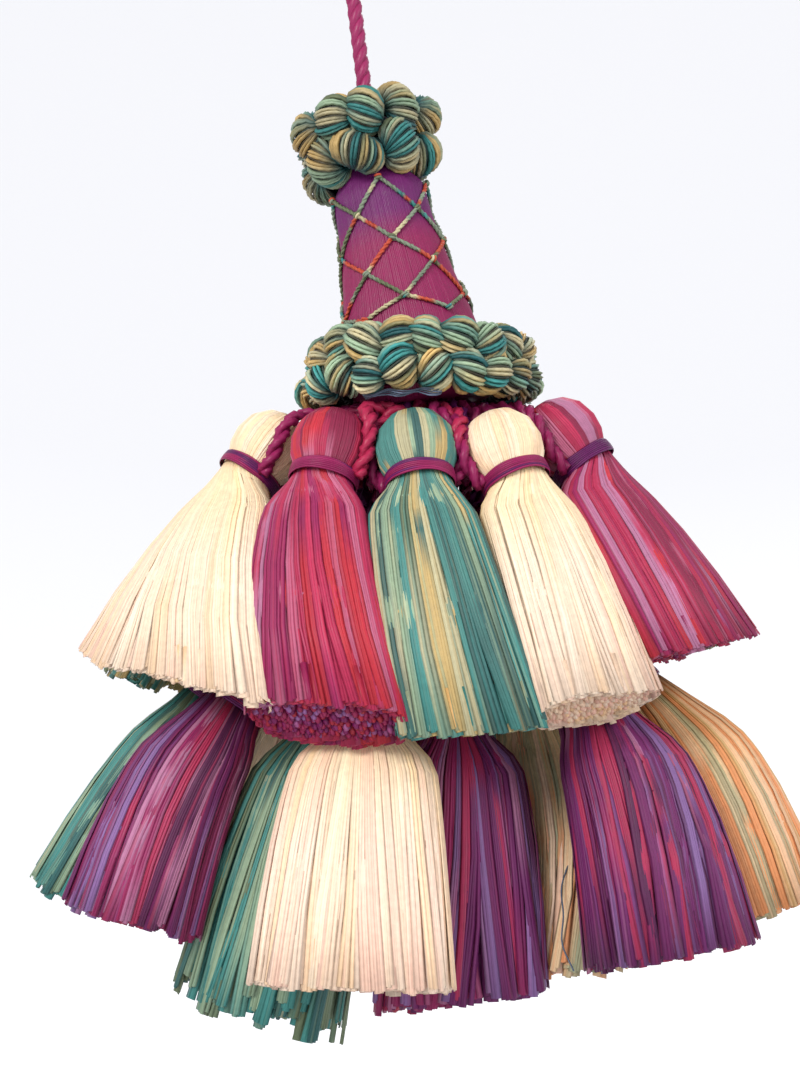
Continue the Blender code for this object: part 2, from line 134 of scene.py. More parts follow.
# One row for each small tassel. Azimuths are degrees from the front, positive to the right, and radii and
# heights are mm. dye names its mix of colours. The last four say how its foot is cut, in mm: how much lower
# all its strands hang than the solid, how much lower still at its right, and at its back, and how unevenly.
TIERS = {
    "upper": (
        ("cream_left", "cream", -76, 28, -13.5, -54, 59, -52, 28.4, 5.5, "cream", 1, 4, -2, 0.25),
        ("red_left", "red", -34, 28, -14, -16.5, 57, -57, 13, 5.5, "red", 0.3, 0.3, 4, 0.3),
        ("green_front", "green", -2, 28, -14.5, 7.3, 57, -61, 12, 5.5, "green", 0.8, -0.8, -2.6, 0.3),
        ("cream_right", "cream", 30, 28, -14.5, 29.5, 57, -58, 12, 5.5, "blush", -1.4, -0.8, 2.6, 0.2),
        ("red_right", "red", 64, 28, -12, 62, 58.5, -52, 22, 5.5, "red", -2.4, -1, -0.6, 0.3),
        ("green_right_back", "green", 108, 29, -14.5, 107, 55.5, -54, 22, 5.5, "green", -3.4, 0, -0.6, 0.3),
        ("cream_back", "cream", 150, 34, -17.5, 150, 53, -57, 20.4, 5.5, "cream", 0, 0, 0, 0.3),
        ("red_back", "red", -162, 34, -17.5, -169, 53, -57, 20, 5.5, "red", 0, 0, 0, 0.3),
        ("green_left_back", "green", -122, 29, -16.5, -116, 55.5, -57, 32, 5.5, "green", -0.8, -1.5, 1, 0.5),
    ),
    "outer": (
        ("green_left", "green", -90, 34, -54, -84, 62, -97, 17, 11, "moss", -3, 0, 0, 0.5),
        ("plum_left", "plum", -58, 34, -54, -54.5, 62, -97, 9, 11, "violet", -3.2, 1, 0, 0.45),
        ("cream_front", "cream", -14, 34, -54, -10.9, 62, -101, 14.4, 11, "rosy", 0, 0, -1, 0.3),
        ("plum_right", "plum", 45, 34, -54, 39.8, 62, -99, 13, 11, "plum", 0, 0, -1, 0.4),
        ("cream_far_right", "cream", 78, 34, -54, 76, 62, -97, 19, 11, "apricot", -1, 0, 0, 0.4),
        ("red_right_back", "red", 118, 34, -54, 117, 58, -98, 20.6, 11, "red", 0, 0, 0, 0.5),
        ("green_back", "green", 162, 29, -54, 160, 54, -100, 20.8, 11, "green", 0, 0, 0, 0.5),
        ("plum_back", "plum", -158, 29, -54, -159, 54, -100, 19, 11, "plum", 0, 0, 0, 0.5),
        ("cream_left_back", "cream", -128, 34, -54, -121, 57, -98, 17.6, 11, "cream", 0, 0, 0, 0.5),
    ),
    "inner": (
        ("green_front_low", "green", -40, 19, -56, -41.5, 43.5, -112, 19.5, 12, "moss", -3.5, 2, 0.5, 1.4),
        ("plum_front_low", "plum", 14, 16, -56, 8, 38, -109, 20, 12, "violet", -1.4, -1.6, 0.5, 0.5),
        ("cream_right_low", "cream", 80, 15.2, -56, 36.5, 40.5, -106, 12, 11, "sage", -2.5, 0, 0.5, 0.7),
    ),
}

# Each dye is a mix of colours with its shares.
DYES = {
    "cream": dict(cream=50, straw=18, blush=14, ivory=18),
    "cream_ball": dict(cream=30, peach=46, straw=24),
    "blush": dict(cream=42, blush=22, straw=14, ivory=22),
    "rosy": dict(cream=40, blush=30, straw=14, ivory=16),
    "apricot": dict(apricot=46, straw=15, peach=10, ochre=19, mint=10),
    "sage": dict(mint=26, khaki=26, straw=16, blush=16, apricot=16),
    "red": dict(crimson=32, magenta=22, wine=13, scarlet=15, rose=13, lilac=5),
    "green": dict(teal=36, deep_teal=11, mint=22, ochre=12, khaki=11, moss=8),
    "green_ball": dict(teal=30, deep_teal=10, mint=12, ochre=24, khaki=24),
    "moss": dict(teal=28, deep_teal=18, mint=26, moss=22, khaki=6),
    "plum": dict(purple=38, plum=20, crimson=14, lilac=8, violet=14, rose=6),
    "violet": dict(purple=26, magenta=24, violet=16, lilac=16, crimson=14, plum=4),
    "ruff": dict(teal=19, deep_teal=7, mint=22, moss=8, ochre=23, khaki=21),
    "net": dict(sage=32, moss=20, ember=26, khaki=16, teal=6),
    "cord": dict(magenta=60, wine=16, purple=24),
    "hanger": dict(magenta=48, purple=26, wine=10, crimson=16),
    "band": dict(purple=60, magenta=40),
    "satin_top": dict(grape=84, magenta=16),
    "satin": dict(magenta=88, wine=8, crimson=4),
}


def tint_property(name, description, default):
    return FloatVectorProperty(
        name=name, description=description, default=default, subtype="COLOR", size=3, min=0.0, max=1.0
    )


class YarnColours(PropertyGroup):
    """The colours that the yarns are dyed with."""

    cream: tint_property("Cream", "Main colour of the cream tassels", (0.90, 0.745, 0.56))
    ivory: tint_property("Ivory", "Palest streaks of the cream and green tassels", (0.90, 0.80, 0.645))
    straw: tint_property("Straw", "Yellow streaks of the cream tassels", (0.89, 0.675, 0.41))
    blush: tint_property("Blush", "Pink streaks of the cream tassels", (0.87, 0.61, 0.49))
    peach: tint_property("Peach", "The balls of the cream tassels", (0.86, 0.60, 0.385))
    apricot: tint_property("Apricot", "Orange streaks of the far cream tassel", (0.80, 0.27, 0.085))
    ochre: tint_property("Ochre", "Golden streaks of the green yarns", (0.52, 0.35, 0.13))
    crimson: tint_property("Crimson", "Main colour of the red tassels", (0.40, 0.020, 0.070))
    scarlet: tint_property("Scarlet", "Brightest streaks of the red tassels", (0.50, 0.024, 0.036))
    rose: tint_property("Rose", "Soft pale streaks of the red tassels", (0.44, 0.115, 0.20))
    # Wine, darkened, is also the painted shade inside the bundle of cords.
    wine: tint_property("Wine", "Dark streaks of the red tassels", (0.21, 0.012, 0.050))
    lilac: tint_property("Lilac", "Pale streaks of the red and plum tassels", (0.42, 0.17, 0.29))
    magenta: tint_property("Magenta", "The cords and the wound head", (0.26, 0.014, 0.085))
    grape: tint_property("Grape", "The upper part of the wound head", (0.145, 0.013, 0.120))
    purple: tint_property("Purple", "Main colour of the plum tassels and the ties", (0.115, 0.011, 0.092))
    plum: tint_property("Plum", "Dark streaks of the plum tassels", (0.065, 0.007, 0.050))
    violet: tint_property("Violet", "Bluish streaks of the plum tassels", (0.20, 0.12, 0.30))
    teal: tint_property("Teal", "Main colour of the green tassels", (0.040, 0.22, 0.205))
    # Deep teal is also the painted shade in the ruffs: on their yarns' flanks, in their lobes' cores and on
    # their ring.
    deep_teal: tint_property("Deep teal", "Dark streaks of the green yarns", (0.014, 0.085, 0.090))
    mint: tint_property("Mint", "Pale streaks of the green yarns", (0.285, 0.39, 0.255))
    sage: tint_property("Sage", "Greyish stretches of the net", (0.20, 0.245, 0.17))
    khaki: tint_property("Khaki", "Pale golden streaks of the green yarns", (0.50, 0.44, 0.26))
    ember: tint_property("Ember", "Orange stretches of the net", (0.47, 0.065, 0.030))
    moss: tint_property("Moss", "Olive streaks of the green yarns", (0.13, 0.155, 0.080))
    slate: tint_property("Slate", "The binding thread and the stray threads", (0.10, 0.13, 0.19))


def length_property(name, description, default, least, most):
    return FloatProperty(
        name=name, description=description, default=default * MM, min=least * MM, max=most * MM,
        unit="LENGTH", precision=5,
    )


class TasselSizes(PropertyGroup):
    """The sizes of the yarns and cords."""

    yarn_width: length_property(
        "Yarn width", "Width of one yarn where it leaves a small tassel's foot", 1.3, 0.4, 4.0
    )
    cut_end: length_property(
        "Cut end", "Distance between the cut ends inside a small tassel's foot", 0.90, 0.3, 3.0
    )
    wound_yarn: length_property(
        "Wound yarn", "Half the thickness of the yarn that the ruffs are wound with", 0.46, 0.1, 1.0
    )
    net_ply: length_property("Net ply", "Half the thickness of one ply of the net's thread", 0.30, 0.1, 1.0)
    band_width: length_property(
        "Band width", "Height of the satin band round a small tassel's neck", 2.5, 0.5, 6.0
    )


class StageSettings(PropertyGroup):
    """The camera, the lights and the floor."""

    lens: FloatProperty(name="Lens", description="Focal length in mm", default=50.0, min=10.0, max=200.0)
    distance: FloatProperty(
        name="Distance", description="From the camera to the tassel", default=281.6 * MM, unit="LENGTH",
        precision=4,
    )
    roll: FloatProperty(
        name="Roll", description="How far the camera is turned about its line of sight",
        default=math.radians(7.0), subtype="ANGLE", unit="ROTATION",
    )
    key_power: FloatProperty(
        name="Key light", description="Power of the soft light from the upper left", default=7.5,
        unit="POWER",
    )
    fill_power: FloatProperty(
        name="Fill light", description="Power of the soft light from the right", default=3.0, unit="POWER"
    )
    surround: FloatProperty(
        name="Surround", description="Strength of the light from all round", default=0.86, min=0.0
    )
    floor: tint_property("Floor", "Colour of the floor", (0.86, 0.86, 0.88))


def sizes():
    return bpy.context.scene.tassel_sizes


def tint(name):
    return np.array(getattr(bpy.context.scene.yarn_colours, name))


def plain(name, light, count):
    """The tints of one yarn that is the same all along its count stations."""
    return np.broadcast_to(tint(name) * light, (1, count, 3))


def chance_for(name):
    """The same draws each time for a piece of this name."""
    return np.random.default_rng(zlib.crc32(name.encode()))


def unit(vectors):
    return vectors / np.maximum(np.linalg.norm(vectors, axis=-1, keepdims=True), 1e-12)


def smooth(share):
    share = np.clip(share, 0.0, 1.0)
    return share * share * (3.0 - 2.0 * share)


def placed(points, matrix):
    turn = np.array(matrix.to_3x3())
    return points @ turn.T + np.array(matrix.translation)


def round_axis(reach, turn, height):
    """Points at this reach from an upright axis, turned to the right from its front by turn."""
    return np.stack(np.broadcast_arrays(reach * np.sin(turn), -reach * np.cos(turn), height), axis=-1)


def run(line):
    """How far along a line each of its points is."""
    return np.concatenate([[0.0], np.cumsum(np.linalg.norm(np.diff(line, axis=0), axis=1))])


def circle(count):
    """Turns evenly round a circle, against the clock as seen from above."""
    return np.linspace(0.0, math.tau, count, endpoint=False)[::-1]


def scattered(chance, count):
    """Turns nearly evenly round a circle."""
    return (np.arange(count) + chance.uniform(-0.2, 0.2, count)) / count * math.tau


def linked(name, data):
    """A new object in the scene."""
    obj = bpy.data.objects.new(name, data)
    bpy.context.scene.collection.objects.link(obj)
    return obj


def through(knots, count):
    """A smooth line of count points through a few knots."""
    knots = np.asarray(knots, float)
    padded = np.vstack([2 * knots[0] - knots[1], knots, 2 * knots[-1] - knots[-2]])
    at = np.linspace(0.0, len(knots) - 1.0, count)
    piece = np.minimum(at.astype(int), len(knots) - 2)
    t = (at - piece)[:, None]
    a, b, c, d = (padded[piece + i] for i in range(4))
    return 0.5 * (2 * b + (c - a) * t + (2 * a - 5 * b + 4 * c - d) * t**2 + (3 * b - a - 3 * c + d) * t**3)


UP = np.array((0.0, 0.0, 1.0))


def frames_along(line):
    """Two directions square to a line at each of its points, turning as little as they can."""
    tangents = unit(np.gradient(line, axis=0))
    normal = UP if abs(tangents[0][2]) < 0.9 else np.array((1.0, 0.0, 0.0))
    first = []
    for tangent in tangents:
        normal = unit(normal - tangent * (normal @ tangent))
        first.append(normal)
    first = np.array(first)
    return first, np.cross(tangents, first)


class Dye:
    """Colours of yarns side by side: zones that neighbours share, and yarns with colours of their own."""

    KNOTS = 7
    PLAN_JITTER = 0.5
    OFF_PLAN = 0.16
    DRIFT = 0.25
    BLEND = 0.5

    def __init__(self, chance, mix, zones, steady=0.74, stray=0.45, plan=None):
        """plan names the colours of the yarns that face front, from the left to the right."""
        names, shares = list(DYES[mix]), np.array(list(DYES[mix].values()), float)
        self.chance = chance
        self.tints = np.array([tint(name) for name in names])
        self.shares = shares / shares.sum()
        self.steady = steady
        self.stray = stray
        self.planned = plan and np.array([names.index(name) for name in plan.split()])
        self.edges = np.sort(chance.random(zones))
        self.picks = self._draw(zones + 1)
        self.picks[-1] = self.picks[0]

    def _follow(self, turns, picks):
        """Turns the picks of the yarns that face front to the planned colours."""
        places = ((np.asarray(turns) + 0.25) % 1.0) / 0.5
        count = len(self.planned)
        nearest = places * count + self.chance.normal(0.0, self.PLAN_JITTER, len(places))
        planned = self.planned[np.clip(nearest, 0, count - 1).astype(int)]
        change = self.chance.random(picks.shape) < self.OFF_PLAN
        return np.where((places < 1.0)[:, None] & ~change, planned[:, None], picks)

    def _draw(self, count):
        """For each of count yarns, which of the dye's colours it has at each of its knots."""
        picks = self.chance.choice(len(self.tints), size=(count, self.KNOTS), p=self.shares)
        for knot in range(1, self.KNOTS):
            stay = self.chance.random(count) < self.steady
            picks[stay, knot] = picks[stay, knot - 1]
        return picks

    def at(self, turns, shares, uneven=0.08):
        """Tints of yarns at these turns (0 to 1), at shares of their length: (yarns, stations, 3)."""
        count = len(turns)
        picks = self.picks[np.searchsorted(self.edges, np.asarray(turns) % 1.0)]
        if self.planned is not None:
            picks = self._follow(turns, picks)
        own = self._draw(count)
        strays = self.chance.random(count) < self.stray
        picks = np.where(strays[:, None], own, picks)
        shift = self.chance.uniform(-self.DRIFT, self.DRIFT, (count, 1))
        along = np.clip(np.asarray(shares)[None, :] + shift, 0.0, 1.0) * (self.KNOTS - 1)
        low = np.minimum(along.astype(int), self.KNOTS - 2)
        part = smooth((along - low - 0.5 * (1.0 - self.BLEND)) / self.BLEND)[..., None]
        rows = np.arange(count)[:, None]
        tints = self.tints[picks[rows, low]] * (1 - part) + self.tints[picks[rows, low + 1]] * part
        light = 1.0 + uneven * self.chance.standard_normal((count, 1, 1))
        return np.clip(tints * np.clip(light, 0.6, 1.5), 0.0, 0.95)

    def one(self, count):
        """Tints of one yarn at a turn of its own, at count stations."""
        return self.at(self.chance.random(1), np.linspace(0.0, 1.0, count))


def soften(tints, yarn):
    """Brings the tints of yarns side by side nearer to their mean."""
    return tints + SOFTENING[yarn] * (tints.mean(axis=0) - tints)


# How far the grain of each yarn is shifted along the last one's, in mm, so that no two are alike.
GRAIN_SHIFT = 37.3


class Skein:
    """Gathers yarns as tubes, and lays them in one mesh with their tints, their lay and a map to bake on."""

    def __init__(self):
        self.places, self.tints, self.lays = [], [], []
        self.corners, self.loops_per_face, self.cells = [], [], []
        self.points = 0
        self.yarns = 0

    def add_rings(self, rings, tints):
        """Closed tubes from rings of points: (yarns, stations, sides, 3), with tints for each station."""
        count, stations, sides = rings.shape[:3]
        angles = np.arange(sides) / sides * math.tau
        steps = np.linalg.norm(np.diff(rings.mean(axis=2), axis=1), axis=2)
        along = np.concatenate([np.zeros((count, 1)), np.cumsum(steps, axis=1)], axis=1)
        yarns = self.yarns + np.arange(count)
        lay = np.empty((count, stations, sides, 3))
        lay[..., 0] = np.cos(angles)
        lay[..., 1] = np.sin(angles)
        lay[..., 2] = along[:, :, None] / MM + GRAIN_SHIFT * yarns[:, None, None]
        index = self.points + np.arange(count * stations * sides).reshape(count, stations, sides)
        after = np.roll(index, -1, axis=2)
        walls = np.stack([index[:, :-1], after[:, :-1], after[:, 1:], index[:, 1:]], axis=-1)
        # On the map a yarn's walls stand in a column, between the discs of its two ends.
        levels = stations + 1
        across = (np.arange(sides)[:, None] + np.array([0, 1, 1, 0])) / sides
        height = (np.arange(stations - 1)[:, None, None] + np.array([0, 0, 1, 1])) / levels + 1 / levels
        self._keep(walls, yarns[:, None, None, None], across, height)
        ends = np.stack([index[:, 0, ::-1], index[:, -1]])
        lift = np.array([0.0, stations / levels])[:, None, None]
        disc = 0.5 + 0.4 * np.array([np.cos(angles), np.sin(angles)])
        self._keep(ends, yarns[:, None], disc[0], lift + disc[1] / levels)
        self.places.append(rings.reshape(-1, 3))
        self.tints.append(np.broadcast_to(tints[:, :, None, :], rings.shape).reshape(-1, 3))
        self.lays.append(lay.reshape(-1, 3))
        self.points += rings.size // 3
        self.yarns += count

    def _keep(self, corners, yarn, across, height):
        """Keeps faces, whose corners are the last axis, and where they lie on the map."""
        self.corners.append(corners.reshape(-1))
        self.loops_per_face.extend([corners.shape[-1]] * (corners.size // corners.shape[-1]))
        cells = np.stack(np.broadcast_arrays(corners, yarn, across, height)[1:], axis=-1)
        self.cells.append(cells.reshape(-1, 3))

    def add(self, lines, radii, tints, facing, sides=3, flat=1.0):
        """Tubes along lines (yarns, stations, 3), with one corner towards facing."""
        tangents = unit(np.gradient(lines, axis=1))
        facing = np.broadcast_to(facing, lines.shape)
        facing = unit(facing - tangents * (facing * tangents).sum(axis=-1, keepdims=True))
        across = np.cross(tangents, facing)
        angles = np.arange(sides) / sides * math.tau
        radii = np.broadcast_to(radii, lines.shape[:2])[:, :, None, None]
        spread = facing[:, :, None, :] * (np.cos(angles)[:, None] * flat)
        spread = spread + across[:, :, None, :] * np.sin(angles)[:, None]
        self.add_rings(lines[:, :, None, :] + radii * spread, tints)

    def add_cord(self, line, dye, twist, plies=2, sides=6, start=None):
        """Plies twisted round a line and dyed alike. twist: a ply's radius, its offset, a turn's length."""
        tints = dye.one(len(line))
        start = dye.chance.random() if start is None else start
        radius, offset, lay = twist
        first, second = frames_along(line)
        angles = math.tau * (np.arange(plies)[:, None] / plies + (start + run(line) / lay)[None, :])
        out = np.cos(angles)[..., None] * first + np.sin(angles)[..., None] * second
        self.add(line + out * offset, radius, np.repeat(tints, plies, axis=0), out, sides)

    def finish(self, name, yarn, nodes, matrix=None):
        """The mesh, riding on the body and standing for its solids."""
        places = np.concatenate(self.places)
        if matrix is not None:
            places = placed(places, matrix)
        corners = np.concatenate(self.corners)
        totals = np.array(self.loops_per_face)
        mesh = bpy.data.meshes.new(name)
        mesh.vertices.add(len(places))
        mesh.vertices.foreach_set("co", places.astype(np.float32).ravel())
        mesh.loops.add(len(corners))
        mesh.loops.foreach_set("vertex_index", corners.astype(np.int32))
        mesh.polygons.add(len(totals))
        mesh.polygons.foreach_set("loop_start", (np.cumsum(totals) - totals).astype(np.int32))
        mesh.polygons.foreach_set("loop_total", totals.astype(np.int32))
        mesh.update(calc_edges=True)
        mesh.validate()
        mesh.shade_smooth()
        colour = mesh.attributes.new("yarn_tint", "FLOAT_COLOR", "POINT")
        tints = np.ones((len(places), 4), np.float32)
        tints[:, :3] = np.concatenate(self.tints)
        colour.data.foreach_set("color", tints.ravel())
        lay = mesh.attributes.new("yarn_lay", "FLOAT_VECTOR", "POINT")
        lay.data.foreach_set("vector", np.concatenate(self.lays).astype(np.float32).ravel())
        self.write_map(mesh)
        mesh.materials.append(yarn_material(yarn, **YARNS[yarn]))
        obj = linked(name, mesh)
        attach(obj, BODY)
        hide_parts(*nodes)
        return obj

    def write_map(self, mesh):
        """Each yarn gets an upright cell of its own on the map."""
        cells = np.concatenate(self.cells)
        columns = max(1, math.ceil(math.sqrt(self.yarns * 10)))
        rows = max(1, math.ceil(self.yarns / columns))
        column, row = cells[:, 0] % columns, cells[:, 0] // columns
        across = (column + 0.06 + 0.88 * cells[:, 1]) / columns
        spots = np.stack([across, (row + 0.01 + 0.98 * cells[:, 2]) / rows], axis=1)
        layer = mesh.uv_layers.new(name="OFBake")
        layer.data.foreach_set("uv", spots.astype(np.float32).ravel())


# Each yarn's finish. grain is how fine its fibres are across it and along it, pitch the length of a turn of
# its twist in mm, which floss doesn't have, and depth the height of its relief in mm.
YARNS = {
    "rayon_floss": dict(roughness=0.44, grain=(2.4, 0.07), depth=0.05, specular=0.28),
    "satin_floss": dict(roughness=0.36, grain=(4.5, 0.06), depth=0.05, specular=0.26),
    "twisted_satin": dict(roughness=0.40, grain=(3.0, 0.12), pitch=3.0, depth=0.05, specular=0.36),
    "wound_cotton": dict(roughness=0.50, grain=(2.4, 0.2), pitch=1.6, depth=0.06, specular=0.34, sheen=0.04),
}
FUZZ_SCALE = 1100.0
# The part of a noise's range that is used, and how far it changes a colour and a roughness.
NOISE_RANGE = (0.3, 0.7)
FIBRE_LIGHT = (0.86, 1.09)
FUZZ_LIGHT = (0.93, 1.06)
FUZZ_ROUGHNESS = (-0.06, 0.1)


def yarn_material(name, roughness, grain, depth, specular, pitch=None, sheen=0.0):
    """A dyed yarn: its own tint, fine fibres along it, and its twist where it has one."""
    material = bpy.data.materials.get(name)
    if material:
        return material
    material = bpy.data.materials.new(name)
    material.use_nodes = True
    tree = material.node_tree
    dye = add_node(tree, "Attribute", "Color", attribute_name="yarn_tint")
    lay = add_node(tree, "Attribute", "Vector", attribute_name="yarn_lay")
    stretch = product(tree, lay, (grain[0], grain[0], grain[1]))
    fibres = add_node(tree, "TexNoise", "Fac", Vector=stretch, Scale=1.0, Detail=3.0)
    place = add_node(tree, "TexCoord", "Object")
    fuzz = add_node(tree, "TexNoise", "Fac", Vector=place, Scale=FUZZ_SCALE, Detail=2.0)
    shade = product(tree, dye, spread(tree, fibres, FIBRE_LIGHT))
    worn = product(tree, shade, spread(tree, fuzz, FUZZ_LIGHT))
    height = fibres
    shader = tree.nodes["Principled BSDF"].inputs
    tree.links.new(worn, shader["Base Color"])
    rough = spread(tree, fuzz, [roughness + change for change in FUZZ_ROUGHNESS])
    tree.links.new(rough, shader["Roughness"])
    if pitch:
        height = arithmetic(tree, "ADD", fibres, twist_wave(tree, lay, pitch))
    relief = add_node(tree, "Bump", "Normal", Strength=0.6, Distance=depth * MM, Height=height)
    tree.links.new(relief, shader["Normal"])
    shader["Sheen Weight"].default_value = sheen
    shader["Sheen Roughness"].default_value = 0.4
    shader["Specular IOR Level"].default_value = specular
    return material


def feed(tree, socket, value):
    """Links a socket to another one, or sets it to a number or numbers."""
    if isinstance(value, bpy.types.NodeSocket):
        tree.links.new(value, socket)
    else:
        socket.default_value = value


def add_node(tree, kind, output, attribute_name=None, **inputs):
    """A node with its inputs fed by name: its output."""
    node = tree.nodes.new("ShaderNode" + kind)
    if attribute_name:
        node.attribute_name = attribute_name
    for name, value in inputs.items():
        feed(tree, node.inputs[name.replace("_", " ")], value)
    return node.outputs[output]


def spread(tree, value, made):
    """A noise's used range turned into the range made."""
    (low, high), (least, most) = NOISE_RANGE, made
    return add_node(
        tree, "MapRange", "Result", Value=value, From_Min=low, From_Max=high, To_Min=least, To_Max=most
    )


def arithmetic(tree, operation, *values, kind="Math"):
    """A node that works out one result from the values."""
    node = tree.nodes.new("ShaderNode" + kind)
    node.operation = operation
    for socket, value in zip(node.inputs, values):
        feed(tree, socket, value)
    return node.outputs[0]


def product(tree, first, second):
    return arithmetic(tree, "MULTIPLY", first, second, kind="VectorMath")


def twist_wave(tree, lay, pitch):
    """Ridges that climb round a yarn once in each pitch."""
    parts = tree.nodes.new("ShaderNodeSeparateXYZ")
    tree.links.new(lay, parts.inputs[0])
    around = arithmetic(tree, "ARCTAN2", parts.outputs["Y"], parts.outputs["X"])
    climbed = arithmetic(tree, "MULTIPLY", parts.outputs["Z"], math.tau / pitch)
    return arithmetic(tree, "SINE", arithmetic(tree, "ADD", around, climbed))


# The small tassels.


def skirt_place(azimuth, reach, height):
    """A point of the skirt, which is less deep than it is wide."""
    place = round_axis(reach, azimuth, height)
    place[..., 1] *= np.where(np.cos(azimuth) > 0.0, FRONT_DEPTH, BACK_DEPTH)
    return place


FACING_STEP = 0.01
RIM_STEPS = 721
# Where down the skirt its yarns are spaced, and how even they are along its rim rather than in their turns.
RIM_SHARE = 0.8
EVENNESS = 0.75
# Where down the skirt the ball's axis aims.
AXIS_SHARE = 0.2


class SmallTassel:
    """The shape of one small tassel, worked out from its row of the table."""

    def __init__(self, tier, row):
        values = dict(zip(COLUMNS, row))
        self.tier = tier
        self.name = f"{tier}_{values['name']}"
        self.yarn, self.dye = values["yarn"], values["dye"]
        self.sweep_power = EARLY_SWEEPS.get(self.name, SWEEP_POWER)
        self.head_az, self.foot_az, self.half_az = (
            math.radians(values[key]) for key in ("head_az", "foot_az", "half_az")
        )
        self.head_r, self.foot_r, self.half_r, self.foot_z = (
            values[key] * MM for key in ("head_r", "foot_r", "half_r", "foot_z")
        )
        self.cut, self.slant, self.drop, self.ragged = (values[key] * MM for key in COLUMNS[-4:])
        self.head = skirt_place(self.head_az, self.head_r, values["head_z"] * MM)
        self.neck_z = values["head_z"] * MM - NECK_DROP
        self.length = self.neck_z - self.foot_z
        self.flare_power = SHOULDER_FILL[tier] * (FLARE_BASE + FLARE_PER_DEGREE * values["half_az"])
        below_neck = skirt_place(*self.sweep(np.array(AXIS_SHARE)))
        self.axis = unit(below_neck - self.head)
        outward = skirt_place(self.head_az, 1.0, 0.0)
        self.side = unit(np.cross(outward, self.axis))
        self.out = np.cross(self.side, self.axis)
        self.out *= math.copysign(1.0, self.out @ outward)
        self.neck = self.head + self.axis * NECK_DROP

    def sweep(self, share):
        """The azimuth, reach and height of the skirt's middle line, at a share of the way down."""
        share = np.maximum(share, 0.0)
        eased = share**self.sweep_power
        start = self.head_r + SWEEP_START
        angle = self.head_az + (self.foot_az - self.head_az) * eased
        return angle, start + (self.foot_r - start) * eased, self.neck_z - self.length * share

    def section(self, share, across, outward):
        """A point of the skirt's section: across and outward run from -1 to 1."""
        angle, reach, height = self.sweep(share)
        flare = np.maximum(share, 0.0) ** self.flare_power
        half_side = NECK_RADIUS + (self.half_az * self.foot_r - NECK_RADIUS) * flare
        half_out = NECK_RADIUS + (self.half_r - NECK_RADIUS) * flare
        lean = (self.foot_r - self.head_r) / self.length
        rise = FOOT_TILT * half_out * outward * lean
        return skirt_place(angle + half_side * across / reach, reach + half_out * outward, height + rise)

    def rim(self, share, turn, ratio):
        """A point towards the skirt's rim, whose section squares up on the way down."""
        roundness = 2.0 / (2.0 + share)
        sine, cosine = np.sin(turn), np.cos(turn)
        across = np.sign(sine) * np.abs(sine) ** roundness * ratio
        outward = np.sign(cosine) * np.abs(cosine) ** roundness * ratio
        return self.section(share, across, outward)

    def ball(self, height, radius, turn):
        """A point of the ball, round its axis."""
        lateral = np.sin(turn)[..., None] * self.side + np.cos(turn)[..., None] * self.out
        height = np.asarray(height)[..., None]
        return self.head - height * self.axis + lateral * np.asarray(radius)[..., None]

    def strand(self, share, turn, ratio):
        """A point of a strand, from inside the tie at 0 to the foot at 1."""
        share, turn, ratio = np.broadcast_arrays(share, turn, ratio)
        narrow = self.ball(-NECK_DROP - share * self.length, NECK_RADIUS * ratio, turn)
        blend = smooth(share / FIRST_STATION[self.tier])[..., None]
        return narrow * (1 - blend) + self.rim(share, turn, ratio) * blend

    def surface(self, share, turn):
        """A point of the skirt's surface, and the way that it faces."""
        point = self.strand(share, turn, 1.0)
        around = self.strand(share, turn + FACING_STEP, 1.0) - self.strand(share, turn - FACING_STEP, 1.0)
        above = self.strand(np.maximum(share - FACING_STEP, 0.0), turn, 1.0)
        down = self.strand(share + FACING_STEP, turn, 1.0) - above
        facing = unit(np.cross(around, down))
        centre = self.strand(share, turn, 0.0)
        return point, facing * np.sign((facing * (point - centre)).sum(axis=-1, keepdims=True))

    def lowered(self, across, outward):
        """How much lower than the solid's foot a strand ends, by its place in the foot."""
        return self.cut + self.slant * across + self.drop * 0.5 * (1.0 - outward)

    def even_turns(self, pitch):
        """Turns about pitch apart along the foot's rim, and their places along it from 0 to 1."""
        turns = np.linspace(0.0, math.tau, RIM_STEPS)
        along = run(self.rim(np.array(RIM_SHARE), turns, 1.0))
        share = EVENNESS * along / along[-1] + (1.0 - EVENNESS) * turns / math.tau
        count = int(along[-1] / pitch)
        places = (np.arange(count) + 0.5) / count
        return np.interp(places, share, turns), places


# (depth below the surface in mm, strands to a yarn, stations) of each layer of a skirt.
LAYERS = ((0.0, 4, 9), (0.15, 3, 6), (0.8, 2, 3))
# A skirt's yarns gather in a few clumps, each with a swell.
CLUMP_COUNTS = (9, 13)
CLUMPS = {"upper": 0.24, "outer": 0.36, "inner": 0.72}
SWELLS = {"upper": 0.3 * MM, "outer": 0.45 * MM, "inner": 0.7 * MM}
# How unevenly the yarns and their strands lie, as shares of the gap between two yarns, and end.
YARN_JITTER = 0.12
YARN_WANDER = {"upper": 0.22, "outer": 0.7, "inner": 1.0}
YARN_RIPPLE = 0.1
YARN_RISE = {"upper": 0.05 * MM, "outer": 0.12 * MM, "inner": 0.15 * MM}
STRAND_JITTER = 0.08
END_JITTER = 0.1 * MM
ROUNDED_END = 0.35 * MM
# A strand's width against its share of the yarn's, and the parts of that at the tie and added by the foot.
STRAND_COVER = 1.7
COVER_SHARES = (0.42, 0.58)
STRAND_FLAT = 0.22
YARN_DOME = 0.10 * MM
STRAND_LIGHT = 0.05
STRAND_BLEND = 0.45
# How far the colours of the yarns go towards their mean, and how much of their relief is left.
SOFTENING = {"cream": 0.4, "red": 0.12, "green": 0.16, "plum": 0.2}
RELIEF = {"cream": 0.4}
# How much of each colour's light the yarns keep at the tie, half way and at the foot.
FADES = {"cream": ((1.0, 0.915, 0.73), (0.99, 0.945, 0.95), (0.97, 0.875, 0.86))}


